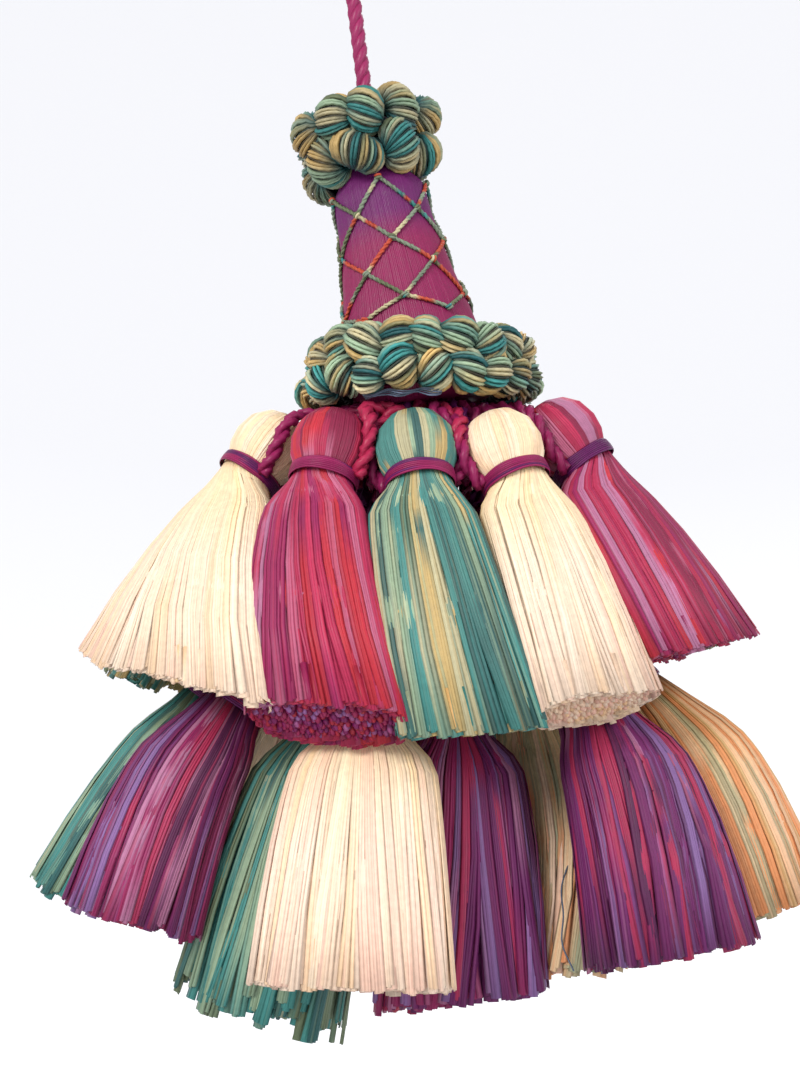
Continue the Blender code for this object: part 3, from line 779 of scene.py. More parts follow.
def fade_along(yarn, shares):
    """How a yarn's tints change from the tie to the foot: (stations, 3)."""
    fade = np.array(FADES.get(yarn, ((1.0, 1.0, 1.0),) * 3))
    return np.stack([np.interp(shares, (0.0, 0.45, 1.0), fade[:, k]) for k in range(3)], axis=1)


# The share of the stations that is spent on the shoulder, how far that goes, and where it starts.
SHOULDER_STATIONS = 0.6
SHOULDER_SHARE = 1.7
SHOULDER_STARTS = {"upper": 0.044, "outer": 0.1, "inner": 0.1}
STATION_POWER = 1.3


def stations_along(tier, count):
    """Shares of a strand's length from the tie to the foot, closer together where it bends."""
    near = int(SHOULDER_STATIONS * count)
    end = SHOULDER_SHARE * FIRST_STATION[tier]
    bend = np.linspace(SHOULDER_STARTS[tier], end, near - 1, endpoint=False)
    rest = np.linspace(0.0, 1.0, count - near) ** STATION_POWER
    return np.concatenate([[0.0], bend, end + (1.0 - end) * rest])


def lay_skirt(skein, tassel, chance, dye):
    """Yarns side by side from the tie to the foot, each a few strands that keep together."""
    width = sizes().yarn_width
    clumps = chance.integers(*CLUMP_COUNTS)
    clump_phase = chance.uniform(0.0, math.tau)
    relief = RELIEF.get(tassel.yarn, 1.0)
    even, places = tassel.even_turns(width)
    gap = np.gradient(even)
    count = len(even)
    for depth, strands, stations in LAYERS:
        turns = even + chance.normal(0.0, YARN_JITTER, count) * gap
        clump = clumps * turns + clump_phase
        shares = stations_along(tassel.tier, stations)
        tints = soften(dye.at(places, shares), tassel.yarn)
        waves = chance.uniform(0.0, math.tau, (count, 2))
        wander = relief * chance.normal(0.0, YARN_WANDER[tassel.tier], count) * gap
        uneven = tassel.lowered(np.sin(turns), np.cos(turns)) + chance.normal(0.0, tassel.ragged, count)
        rise = chance.normal(0.0, YARN_RISE[tassel.tier], count)
        cover = STRAND_COVER * width / strands * (COVER_SHARES[0] + COVER_SHARES[1] * np.sqrt(shares))
        for strand in range(strands):
            side = (strand + 0.5) / strands - 0.5
            middling = 1.0 - (2.0 * side) ** 2
            lower = uneven + ROUNDED_END * middling + chance.normal(0.0, END_JITTER, count)
            at = shares[None, :] * (1.0 + lower / tassel.length)[:, None]
            turn = turns + side * gap + chance.normal(0.0, STRAND_JITTER, count) * gap
            sway = np.sin(waves[:, :1] + at * 3.0) * wander[:, None]
            sway = sway + np.sin(waves[:, 1:] + at * 7.0) * YARN_RIPPLE * gap[:, None]
            gather = np.sin(clump)[:, None] * CLUMPS[tassel.tier] / clumps * at**2
            spots, facing = tassel.surface(at, turn[:, None] + sway * at + gather)
            swell = SWELLS[tassel.tier] * np.cos(clump)[:, None] * at
            swell = swell + relief * (rise[:, None] + YARN_DOME * middling * at) - depth * MM
            light = 1.0 + chance.normal(0.0, STRAND_LIGHT, (count, 1, 1))
            blend = STRAND_BLEND * chance.random((count, 1, 1)) ** 2
            dyed = (tints * (1.0 - blend) + dye.at(places, shares) * blend) * light
            dyed = dyed * fade_along(tassel.yarn, shares)
            skein.add(spots + facing * swell[..., None], cover, dyed, facing, flat=STRAND_FLAT)
    lay_core(skein, tassel, dye)
    lay_foot(skein, tassel, chance, dye)


CORE_SIDES = 40
CORE_STATIONS = 8
CORE_END = 0.9
CORE_DEPTH = 1.5 * MM
# How dark each skirt's inner body is against its yarns' mean colour: painted shade seen between the strands.
CORE_PAINTED_SHADE = {"cream": 0.85, "red": 0.4, "green": 0.4, "plum": 0.4}


def lay_core(skein, tassel, dye):
    """A plain body inside the strands, so that nothing shows through between them; it is darkened as painted
    shade in the gaps.
    """
    turns = tassel.even_turns(1.0 * MM)[0]
    turns = turns[np.linspace(0, len(turns) - 1, CORE_SIDES).astype(int)][::-1]
    shares = np.linspace(0.0, CORE_END, CORE_STATIONS)
    spots, facing = tassel.surface(shares[:, None], turns)
    tints = CORE_PAINTED_SHADE[tassel.yarn] * dye.at(turns / math.tau, shares).mean(axis=0, keepdims=True)
    skein.add_rings((spots - facing * CORE_DEPTH)[None], tints)


# How the cut ends' colours change: darker, as painted shade on ends that face down, and shifted in hue,
# warmer for most yarns and bluer for the red.
FOOT_PAINTED_SHADE_AND_HUE = np.array((0.86, 0.74, 0.70))
RED_FOOT_PAINTED_SHADE_AND_HUE = np.array((0.62, 0.60, 0.95))
FOOT_JITTER = 0.4
# How square the patch of cut ends is, and how full, where 1 reaches the rim.
FOOT_POWER = 3
FOOT_FILL = 0.78
# A cut end's stations, and its half-width at each as a share of the distance between two.
CUT_SHARES = np.array((0.84, 0.985, 1.0))
CUT_WIDTHS = np.array((0.72, 0.66, 0.3))


def lay_foot(skein, tassel, chance, dye):
    """The cut ends inside the foot."""
    pitch = sizes().cut_end
    halves = (tassel.half_az * tassel.foot_r, tassel.half_r)
    grid = np.meshgrid(*(np.arange(-half, half, pitch) for half in halves))
    across, outward = (
        (line.ravel() + chance.uniform(-FOOT_JITTER, FOOT_JITTER, line.size) * pitch) / half
        for line, half in zip(grid, halves)
    )
    inside = np.abs(across) ** FOOT_POWER + np.abs(outward) ** FOOT_POWER < FOOT_FILL
    across, outward = across[inside][:, None], outward[inside][:, None]
    uneven = tassel.lowered(across, outward) + chance.normal(0.0, tassel.ragged * 0.5, across.shape)
    lines = tassel.section(CUT_SHARES * (1.0 + uneven / tassel.length), across, outward)
    places = np.arctan2(across, outward)[:, 0] / math.tau + chance.normal(0.0, 0.05, len(across))
    # Painted shade and a shift of hue on the cut ends.
    shade = RED_FOOT_PAINTED_SHADE_AND_HUE if tassel.yarn == "red" else FOOT_PAINTED_SHADE_AND_HUE
    skein.add(lines, pitch * CUT_WIDTHS, dye.at(places, CUT_SHARES) * shade, (0.0, -1.0, 0.0), sides=4)


BALL_STATIONS = 8
BALL_STRANDS = 104
# The strands of a ball that have one colour, side by side.
BALL_YARN = 3
BALL_TWIST = 0.3
BALL_JITTER = 0.005
# The strand's half-width in the middle of a ball, its least share of that, and how flat it is.
BALL_COVER = 0.52 * MM
BALL_LEAST = 0.25
BALL_FLAT = 0.3
# A ball's strands lie in shallow ridges over a body that is darkened as painted shade between them.
BALL_RIDGES = 9.0
RIDGE_HEIGHT = 0.012
BODY_SIDES = 20
BODY_SHARE = 0.96
BALL_BODY_PAINTED_SHADE = 0.6


def lay_ball(skein, tassel, chance, dye):
    """The wound ball above the neck, with the strands running down it."""
    heights, radii = through(BALL_PROFILE * MM, BALL_STATIONS).T
    turns = scattered(chance, BALL_STRANDS)
    share = np.linspace(0.0, 1.0, BALL_STATIONS)
    turn = turns[:, None] + chance.uniform(-BALL_TWIST, BALL_TWIST) * share[None, :]
    swell = 1.0 + chance.normal(0.0, BALL_JITTER, (BALL_STRANDS, 1))
    swell = swell + RIDGE_HEIGHT * np.sin(BALL_RIDGES * turns + 1.0)[:, None]
    lines = tassel.ball(heights[None, :], radii[None, :] * swell, turn)
    cover = BALL_COVER * np.clip(radii / (BALL_PROFILE * MM)[:, 1].max(), BALL_LEAST, 1.0)
    yarns = soften(dye.at(turns[::BALL_YARN] / math.tau, share * 0.5, uneven=0.05), tassel.yarn)
    light = 1.0 + chance.normal(0.0, 0.04, (BALL_STRANDS, 1, 1))
    tints = np.repeat(yarns, BALL_YARN, axis=0)[:BALL_STRANDS] * light
    middle = tassel.ball(heights, 0.0 * heights, 0.0 * heights)
    skein.add(lines, cover[None, :], tints, lines - middle, flat=BALL_FLAT)
    # The body under the strands, darkened: painted shade.
    rings = tassel.ball(heights[:, None], radii[:, None] * BODY_SHARE, circle(BODY_SIDES)[None, :])
    skein.add_rings(rings[None], BALL_BODY_PAINTED_SHADE * dye.at(np.zeros(1), share))


STRAY_STATIONS = 22
STRAY_RADIUS = 0.14 * MM
# Each stray thread's knots: (share of the skirt's height, turn in degrees, ratio of the way to the rim).
STRAYS = {
    "upper_cream_left": (((0.40, -60, 0.98), (0.36, -78, 1.2), (0.41, -92, 1.55), (0.50, -88, 1.35)),),
    "inner_cream_right_low": (
        ((0.56, -56, 0.98), (0.66, -60, 1.25), (0.76, -54, 1.3), (0.86, -52, 1.2), (0.96, -34, 1.25)),
    ),
    "outer_cream_far_right": (((0.22, 70, 0.99), (0.2, 84, 1.15), (0.21, 92, 1.35)),),
}


def lay_stray_threads(skein, tassel):
    """Thin dark threads that have worked loose."""
    for knots in STRAYS.get(tassel.name, ()):
        share, turn, ratio = np.array(knots, float).T
        line = through(tassel.strand(share, np.radians(turn), ratio), STRAY_STATIONS)
        skein.add(line[None], STRAY_RADIUS, plain("slate", 1.0, STRAY_STATIONS), (0.0, -1.0, 0.3), sides=4)


# How many zones of colour a skirt has for each metre of its foot's width.
ZONES = 2.2 / (2.6 * MM)
BALL_ZONES = 22
# The colours that face front, from left to right, where a skirt's or a ball's own are planned.
SKIRT_PLANS = {
    "upper_green_front":
        "teal mint deep_teal khaki teal ochre khaki teal deep_teal mint teal deep_teal moss",
    "upper_red_left":
        "magenta crimson lilac magenta crimson scarlet crimson wine scarlet rose crimson",
    "upper_red_right":
        "magenta crimson lilac wine crimson wine magenta rose crimson wine magenta",
    "outer_plum_left":
        "purple crimson lilac magenta purple lilac violet magenta lilac crimson plum",
    "outer_plum_right":
        "purple crimson plum crimson purple violet plum crimson purple crimson plum",
    "outer_cream_far_right":
        "mint straw apricot peach apricot ochre apricot apricot ochre",
}
BALL_PLANS = {"upper_green_front": "khaki teal teal khaki deep_teal khaki ochre khaki teal mint"}
BALL_DYES = {"cream": "cream_ball", "blush": "cream_ball", "green": "green_ball"}


def build_small_tassel(tassel):
    """A small tassel's skirt, ball and stray threads."""
    chance = chance_for(tassel.name)
    plan = SKIRT_PLANS.get(tassel.name)
    zones = int(ZONES * 2.0 * tassel.half_az * tassel.foot_r)
    skein = Skein()
    lay_skirt(skein, tassel, chance, Dye(chance, tassel.dye, zones, stray=0.38 if plan else 0.5, plan=plan))
    plan = BALL_PLANS.get(tassel.name)
    dye = Dye(
        chance, BALL_DYES.get(tassel.dye, tassel.dye), BALL_ZONES, steady=0.45, stray=0.3 if plan else 0.5,
        plan=plan,
    )
    lay_ball(skein, tassel, chance, dye)
    lay_stray_threads(skein, tassel)
    skein.finish(tassel.name + "_yarn", "rayon_floss", [tassel.name], SKIRT_FRAME)


def hanger_start(tassel, turn=0.0):
    reach, height = HANGER_STARTS[tassel.tier]
    return round_axis(reach, tassel.head_az + turn, height)


BAND_STATIONS = 34
BAND_STRANDS = 7
BAND_RADIUS = 5.95 * MM
BAND_BULGE = 0.12 * MM
BAND_SLOPE = 0.5
BAND_PINCH = 0.14
BAND_DYES = {"upper_red_left": "hanger"}
HANGER_STATIONS = 26
# A hanger's half-thickness by tier, and its plies' radius, offset and lay as shares of it.
HANGER_RADII = {"upper": 1.55 * MM, "outer": 1.1 * MM, "inner": 1.1 * MM}
HANGER_TWIST = (0.56, 0.44, 4.6)
# A hanger's way round the ball of an upper tassel: (up, out, to the side) in mm from the ball's middle.
BESIDE_BALL = ((7.6, -2.2, 4.6), (2.8, -0.6, 8.2), (-2.4, -1.6, 8.0), (-6.9, -2.2, 6.0))
BEHIND_BALL = ((8.6, -5.0, 0.0), (3.0, -8.6, 0.0), (-6.9, -6.0, 0.0))
# Where the hangers leave the gathered cords, beside the ball and behind it: (reach, height).
GATHER_BESIDE = (13.2 * MM, -7.6 * MM)
GATHER_BEHIND = (11.0 * MM, -9.5 * MM)
GATHER_TURN = 0.24
START_TURN = 0.35


def build_tie(tassel):
    """The satin band round a small tassel's neck, and the cords it hangs by."""
    chance = chance_for(tassel.name + "_tie")
    skein = Skein()
    lay_band(skein, tassel, chance)
    dye = Dye(chance, "hanger", zones=3, steady=0.7)
    twist = [share * HANGER_RADII[tassel.tier] for share in HANGER_TWIST]
    for route in hanger_routes(tassel):
        skein.add_cord(through(route, HANGER_STATIONS), dye, twist)
    name = tassel.name + "_tie"
    skein.finish(name + "_cord", "satin_floss", [name], SKIRT_FRAME)


def lay_band(skein, tassel, chance):
    """A flat band of floss round the neck, a little askew."""
    turn = np.linspace(0.0, math.tau, BAND_STATIONS) + math.pi
    slope = chance.uniform(-BAND_SLOPE, BAND_SLOPE) * MM
    middle = slope * np.sin(turn + 0.6) - NECK_DROP
    pinch = 1.0 - BAND_PINCH * np.sin(2.0 * turn + chance.uniform(0.0, math.tau)) ** 2
    width = sizes().band_width
    pitch = width / BAND_STRANDS
    dye = Dye(chance, BAND_DYES.get(tassel.name, "band"), zones=3, steady=0.8, stray=0.3)
    tints = dye.at(np.full(BAND_STRANDS, chance.random()), np.linspace(0.0, 1.0, BAND_STATIONS))
    offsets = ((np.arange(BAND_STRANDS) - 0.5 * (BAND_STRANDS - 1)) * pitch)[:, None]
    bulge = BAND_RADIUS + BAND_BULGE * (1.0 - (2.0 * offsets / width) ** 2)
    heights, bulge, turns = np.broadcast_arrays(middle + offsets * pinch, bulge, turn)
    lines = tassel.ball(heights, bulge, turns)
    skein.add(lines, 0.85 * pitch, tints, lines - tassel.ball(heights, 0.0 * bulge, turns), flat=0.4)


def hanger_routes(tassel):
    """The middle lines of the cords that a small tassel hangs by."""
    if tassel.tier != "upper":
        behind = tassel.head - tassel.out * HANGER_STAND_OFF
        neck_back = tassel.neck - tassel.out * TIE_RADIUS
        return [(hanger_start(tassel), behind - tassel.axis * HANGER_SHOULDER, behind, neck_back)]
    routes = []
    for side in (-1.0, 1.0, 0.0):
        gather, spots = (GATHER_BESIDE, BESIDE_BALL) if side else (GATHER_BEHIND, BEHIND_BALL)
        leave = round_axis(gather[0], tassel.head_az + GATHER_TURN * side, gather[1])
        start = hanger_start(tassel, side * START_TURN)
        routes.append((start, leave, *(beside(tassel, up, out, by * side) for up, out, by in spots)))
    return routes


def beside(tassel, up, out, side):
    """A point by a ball, in mm from its middle."""
    return tassel.head + (tassel.out * out + tassel.side * side - tassel.axis * up) * MM


# The head, its net and its ruffs.


def head_radius(height):
    return np.interp(height, HEAD_HEIGHTS, HEAD_RADII)


HEAD_STRANDS = 200
HEAD_STATIONS = 20
HEAD_SIDES = 48
# Where the satin's upper colours give way to the lower ones, and over what length, in mm.
HEAD_CHANGE = 27.0
HEAD_CHANGE_LENGTH = 7.0
# How deep the winding and the body under it lie below the solid's surface, in mm.
SATIN_DEPTH = 0.12
BODY_DEPTH = 0.25
SATIN_LIGHT = 0.9
SATIN_COVER = 0.045


def build_head():
    """The turned head under its satin winding."""
    chance = chance_for("wound_head")
    heights = np.linspace(HEAD_HEIGHTS[-1], HEAD_HEIGHTS[0], HEAD_STATIONS)
    radii = head_radius(heights)
    turns = scattered(chance, HEAD_STRANDS)
    drift = 0.5 * smooth((18.0 - heights) / 24.0) * chance.normal(0.0, 0.006, (HEAD_STRANDS, 1))
    turn = turns[:, None] + drift
    reach = radii[None, :] - SATIN_DEPTH + chance.normal(0.0, 0.008, (HEAD_STRANDS, 1))
    upper = Dye(chance, "satin_top", zones=5, steady=0.9, stray=0.06)
    lower = Dye(chance, "satin", zones=5, steady=0.9, stray=0.04)
    share = np.linspace(0.0, 1.0, HEAD_STATIONS)
    change = smooth((HEAD_CHANGE - heights) / HEAD_CHANGE_LENGTH + 0.5)[None, :, None]
    above, below = (dye.at(turns / math.tau, share, 0.03) for dye in (upper, lower))
    tints = SATIN_LIGHT * (above * (1 - change) + below * change)
    skein = Skein()
    lines = round_axis(reach, turn, heights) * MM
    skein.add(lines, radii * SATIN_COVER * MM, tints, round_axis(1.0, turn, 0.0), flat=0.25)
    body = round_axis(radii[:, None] - BODY_DEPTH, circle(HEAD_SIDES), heights[:, None])
    skein.add_rings(body[None] * MM, plain("magenta", 0.8, HEAD_STATIONS))
    skein.finish("wound_head_satin", "satin_floss", ["wound_head"], HEAD_FRAME)


def net_spot(row, place):
    """A knot of the net, at a row and at a half cell round the head."""
    height = NET_ROWS[row]
    return round_axis(head_radius(height) + NET_STAND_OFF, place * math.pi / NET_CELLS, height)


NET_LIFT = 0.34
NET_STEPS = 14
# How unevenly its knots lie: in half cells and in mm.
NET_JITTER = (0.07, 0.5)
# The offset of its thread's plies against their radius, and the length of a turn.
NET_OFFSET = 0.6
NET_LAY = 2.2 * MM


def build_net():
    """The two-ply thread of the net, knotted where its cells meet."""
    chance = chance_for("head_net")
    dye = Dye(chance, "net", zones=40, steady=0.55, stray=0.5)
    ply = sizes().net_ply
    skein = Skein()
    spots = {}
    for row in range(len(NET_ROWS)):
        for place in range(row % 2, 2 * NET_CELLS, 2):
            aside, above = (chance.normal(0.0, jitter) for jitter in NET_JITTER)
            spots[row, place] = net_spot(row, place + aside) + above * UP
    for (row, place), start in spots.items():
        for step in (-1, 1):
            end = spots.get((row + 1, (place + step) % (2 * NET_CELLS)))
            if end is None:
                continue
            share = np.linspace(0.0, 1.0, NET_STEPS)[:, None]
            line = start * (1 - share) + end * share
            flat = line[:, :2] / np.linalg.norm(line[:, :2], axis=1, keepdims=True)
            line[:, :2] = flat * (head_radius(line[:, 2]) + NET_LIFT)[:, None]
            skein.add_cord(line * MM, dye, (ply, NET_OFFSET * ply, NET_LAY), sides=5)
        knot_of_net(skein, start * MM, chance, dye)
    skein.finish("head_net_thread", "wound_cotton", ["head_net"], HEAD_FRAME)


KNOT_STEPS = 22
NET_KNOT_TURNS = 1.8
NET_KNOT_REACH = (0.46 * MM, 0.42 * MM)
NET_KNOT_CLIMB = 0.42
NET_KNOT_THREAD = 0.26 * MM


def knot_of_net(skein, spot, chance, dye):
    """A small overhand knot: two tight turns round the crossing."""
    out = unit(np.array((spot[0], spot[1], 0.0)))
    side = np.cross(UP, out)
    turn = np.linspace(0.0, math.tau * NET_KNOT_TURNS, KNOT_STEPS)[:, None]
    tilt = chance.uniform(0.0, math.tau)
    first = side * math.cos(tilt) + UP * math.sin(tilt)
    second = UP * math.cos(tilt) - side * math.sin(tilt)
    wide, deep = NET_KNOT_REACH
    climb = np.linspace(-NET_KNOT_CLIMB, NET_KNOT_CLIMB, KNOT_STEPS)[:, None] * MM
    line = spot + np.cos(turn) * wide * first + np.sin(turn) * deep * out + climb * second
    skein.add(line[None], NET_KNOT_THREAD, dye.one(KNOT_STEPS), second, sides=5)


LOBE_COLUMNS = ("height", "core", "lobes", "shift", "tilt", "size", "ridges", "light")
# Rows of lobes in each ruff: the row's height above the ruff's middle and its radius in mm, its number of
# lobes and the share of one that it is turned by, how unevenly they tilt in radians, a lobe's half-width,
# half-height and depth in mm, the ridges that it is wound in, and how light its yarns are.
LOBE_ROWS = {
    "upper_ruff": (
        (2.8, 8.8, 9, 0.15, 0.75, (3.5, 5.2, 5.2), 10, 1.1),
        (-4.0, 8.7, 8, 0.72, 0.75, (3.6, 5.3, 5.1), 10, 1.1),
    ),
    "lower_ruff": (
        (2.9, 16.6, 21, 0.3, 0.3, (3.3, 4.1, 5.2), 8, 1.3),
        (-2.5, 17.6, 21, 0.42, 0.3, (3.2, 4.0, 5.2), 7, 1.6),
    ),
}
TURNS_PER_RIDGE = 3
WINDING_STEPS = 10
# How much closer together the steps of a winding are in front, where they show.
FRONT_STEPS = 0.5
LOBE_REACH = math.radians(112.0)
LOBE_SIZES = (0.86, 1.08)
# How unevenly the lobes lie, in mm, and how far into their row's ring they may be shifted.
LOBE_JITTER = (0.25, 0.4)
ROW_JITTER = 0.1
RIDGE_SWELL = 0.05
RIDGE_ROUND = 0.6
# How deep the crevices between the ridges are, and the painted shade in them and on a yarn's flanks: how dark
# it gets, and how steeply it darkens in each.
CREVICE = 0.23
CREVICE_PAINTED_SHADE = 0.08
CREVICE_PAINTED_SHADE_POWER = 2.3
FLANK_PAINTED_SHADE_POWER = 1.1
# The yarns of a ridge that share its colour.
RIDGE_SHARE = 0.7


def lay_lobe(skein, row, chance, turn, dye):
    """One lobe: a fat loop that comes out of the ruff and goes back in, wound in ridges of fine yarn."""
    girth, tall, deep = (size * chance.uniform(*LOBE_SIZES) for size in row["size"])
    bend_up, bend_out = tall - 0.92 * girth, deep - girth
    tilt = chance.normal(0.0, row["tilt"])
    out = round_axis(1.0, turn, 0.0)
    beside = np.array((math.cos(turn), math.sin(turn), 0.0))
    rise = UP * math.cos(tilt) + beside * math.sin(tilt)
    flat = np.cross(out, rise)
    base = out * (row["core"] + chance.normal(0.0, LOBE_JITTER[0]))
    base = base + UP * (row["height"] + chance.normal(0.0, LOBE_JITTER[1]))
    ridges = row["ridges"]
    yarns = ridges * TURNS_PER_RIDGE
    share = np.linspace(0.0, 1.0, yarns * WINDING_STEPS)
    bend = LOBE_REACH * (2.0 * share - 1.0) + chance.uniform(-0.2, 0.2)
    sine, cosine = np.sin(bend)[:, None], np.cos(bend)[:, None]
    forward = cosine * out - sine * rise
    middle = base + bend_out * cosine * out - bend_up * sine * rise
    ridge = np.abs(np.sin(math.pi * ridges * share)) ** RIDGE_ROUND
    swell = np.interp(share * ridges - 0.5, np.arange(ridges), chance.normal(1.0, RIDGE_SWELL, ridges))
    reach = girth * swell * (1.0 - CREVICE + CREVICE * ridge) * (0.70 + 0.30 * np.cos(bend * 0.62))
    turned = math.tau * yarns * share
    spin = turned - FRONT_STEPS * np.sin(turned)
    slant = chance.choice((-1.0, 1.0)) * chance.uniform(0.4, 1.8) * swell**3 * np.sin(spin)
    winding = np.cos(spin)[:, None] * forward + np.sin(spin)[:, None] * flat
    line = middle + winding * reach[:, None] + (-sine * out - cosine * rise) * slant[:, None]
    fine, broad = (dye.at(chance.random(count), np.array((0.0, 1.0)))[:, 0] for count in (yarns, ridges))
    follow = chance.random(yarns) < RIDGE_SHARE
    fine[follow] = np.repeat(broad, TURNS_PER_RIDGE, axis=0)[follow]
    place = share * (yarns - 1)
    tints = np.stack([np.interp(place, np.arange(yarns), fine[:, k]) for k in range(3)], axis=1)
    # Painted shade: the yarns darken into the crevices between ridges, and go over to dark deep teal on the
    # flanks that turn away from the lobe's outside.
    crevice_shade = (CREVICE_PAINTED_SHADE + (1.0 - CREVICE_PAINTED_SHADE) * ridge**CREVICE_PAINTED_SHADE_POWER)[:, None]
    flank_shade = np.clip(np.cos(spin), 0.0, 1.0)[:, None] ** FLANK_PAINTED_SHADE_POWER
    flank_shade_tint = tint("deep_teal")
    tints = row["light"] * tints * (crevice_shade * flank_shade) + (1.0 - flank_shade) * crevice_shade * flank_shade_tint * 0.9
    skein.add(line[None] * MM, sizes().wound_yarn, tints[None], winding[None], flat=0.9)
    # A near-black core inside the lobe: painted shade seen between its turns.
    core = middle[None, ::WINDING_STEPS * 2]
    thick = reach[::WINDING_STEPS * 2] * 0.8
    skein.add(core * MM, thick * MM, plain("deep_teal", 0.35, len(thick)), flat, sides=8)


def build_ruff(name):
    """A ring of lobes, each wound with turns of variegated yarn."""
    ruff = RUFFS[name]
    chance = chance_for(name)
    skein = Skein()
    dye = Dye(chance, "ruff", zones=60, steady=0.9)
    for values in LOBE_ROWS[name]:
        row = dict(zip(LOBE_COLUMNS, values))
        for lobe in range(row["lobes"]):
            place = lobe + row["shift"] + chance.uniform(-ROW_JITTER, ROW_JITTER)
            lay_lobe(skein, row, chance, math.tau * place / row["lobes"], dye)
    lay_ruff_ring(skein, ruff)
    if name == "lower_ruff":
        lay_binding(skein, row)
    matrix = HEAD_FRAME @ Matrix.Translation((0.0, 0.0, ruff["middle"] * MM))
    matrix = matrix @ Matrix.Rotation(math.radians(ruff["tilt"]), 4, "Y")
    skein.finish(name + "_winding", "wound_cotton", [name], matrix)


RING_STATIONS = 60
# The ring's cords stand at these shares of half the ruff's height, this far into its thickness.
RING_HEIGHTS = (-0.4, 0.0, 0.4)
RING_INSET = 0.2
RING_RADIUS = 0.22


def lay_ruff_ring(skein, ruff):
    """The cords that the lobes are gathered on, nearly black: painted shade between the lobes."""
    around = np.linspace(0.0, math.tau * 1.01, RING_STATIONS)
    thick = ruff["outer"] - ruff["inner"]
    reach = ruff["inner"] + RING_INSET * thick
    out = round_axis(1.0, around, 0.0)
    for height in RING_HEIGHTS:
        line = round_axis(reach, around, height * ruff["half_height"])
        shade = plain("deep_teal", 0.3, RING_STATIONS)
        skein.add(line[None] * MM, RING_RADIUS * thick * MM, shade, out[None], sides=8)


# The binding's arc in degrees, and in mm its reach, its height and the radius of its thread.
BINDING_ARC = (-34.0, 12.0)
BINDING_STATIONS = 48
BINDING_STRANDS = 4
BINDING_REACH = 18.6
BINDING_HEIGHT = -6.2
BINDING_RADIUS = 0.17


def lay_binding(skein, row):
    """A few turns of thin thread that bind a row of lobes from below, and dip between them."""
    around = np.radians(np.linspace(*BINDING_ARC, BINDING_STATIONS))
    lobes = np.cos(row["lobes"] * around - row["shift"] * math.tau)
    for strand in range(BINDING_STRANDS):
        reach = BINDING_REACH - 0.3 * strand + 0.6 * lobes + 0.2 * np.sin(around * 31.0 + strand)
        height = BINDING_HEIGHT - 0.2 * strand - 0.25 * lobes + 0.2 * np.sin(around * 17.0 + 0.8 * strand)
        line = round_axis(reach, around, height) * MM
        shade = plain("slate", 1.5 if strand % 2 else 0.7, BINDING_STATIONS)
        skein.add(line[None], BINDING_RADIUS * MM, shade, (0.0, -0.6, -1.0), sides=4)


BUNDLE_CORDS = 15
BUNDLE_STATIONS = 22
# The radius of a ply of a cord, its offset and the length of a turn.
BUNDLE_TWIST = (0.62 * MM, 0.5 * MM, 5.0 * MM)
GATHERED_TWIST = (0.95 * MM, 0.7 * MM, 7.0 * MM)
# The gathered cords' way from the head's foot out and back in to the bundle: (reach, height) in mm.
GATHERED_LINE = ((9.0, -6.5), (15.5, -7.2), (17.8, -11.0), (15.0, -20.0), (9.5, -28.0), (4.0, -30.0))
GATHERED_CORDS = 30
GATHERED_STATIONS = 16


def build_bundle():
    """The twisted cords that hang side by side below the head."""
    chance = chance_for("cord_bundle")
    dye = Dye(chance, "hanger", zones=20)
    skein = Skein()
    heights, radii = np.array(BUNDLE_PROFILE).T
    down = np.linspace(heights[0], heights[-1], BUNDLE_STATIONS)
    reach = np.interp(-down, -heights, radii)
    for cord in range(BUNDLE_CORDS):
        turn = math.tau * cord / BUNDLE_CORDS + 0.02 * (down - down[0])
        skein.add_cord(round_axis(reach, turn, down) * MM, dye, BUNDLE_TWIST)
    for cord in range(GATHERED_CORDS):
        azimuth = math.tau * (cord + chance.uniform(-0.2, 0.2)) / GATHERED_CORDS
        spots = [skirt_place(azimuth, reach * MM, height * MM) for reach, height in GATHERED_LINE]
        skein.add_cord(through(spots, GATHERED_STATIONS), dye, GATHERED_TWIST, sides=5)
    # A dark core inside the ring of cords: painted shade seen between them.
    core = round_axis(0.0, 0.0, down)[None] * MM
    shade = plain("wine", 0.5, BUNDLE_STATIONS)
    skein.add(core, reach[None] * MM * 0.96, shade, (0.0, -1.0, 0.0), sides=16)
    skein.finish("cord_bundle_twists", "satin_floss", ["cord_bundle"], SKIRT_FRAME)


# The hanging cord.


def loop_place(share):
    turn = math.tau * share
    opening = LOOP_LEG + (LOOP_HALF_WIDTH - LOOP_LEG) * (np.sin(0.5 * turn) ** 2) ** 1.2
    narrowing = np.sqrt(1.0 - np.maximum(0.0, -np.cos(turn)) ** 4)
    side = np.where(share < 0.5, -1.0, 1.0)
    height = CORD_RADIUS - 0.5 * LOOP_LENGTH * (1.0 + np.cos(turn))
    return np.stack([side * opening * narrowing, 0.0 * height, height], axis=-1)


def cord_route():
    """Up from the head, through the knot and round the loop, back to the knot."""
    straight = np.linspace(CORD_EXIT.z, KNOT_BOTTOM, 26)
    inside = np.linspace(KNOT_BOTTOM, KNOT_TOP, 8)[1:-1]
    shift = smooth((inside - KNOT_BOTTOM) / (KNOT_TOP - KNOT_BOTTOM))
    rise = np.stack([0.0 * straight, 0.0 * straight, straight], axis=-1)
    cross = np.stack([-LOOP_LEG * shift, 0.0 * inside, inside], axis=-1)
    dense = loop_place(np.linspace(0.0, 1.0, 8 * LOOP_STEPS + 1))
    along = run(dense)
    even = np.linspace(0.0, along[-1], LOOP_STEPS)
    loop = np.stack([np.interp(even, along, dense[:, k]) for k in range(3)], axis=1)
    return np.concatenate([rise, cross, loop])


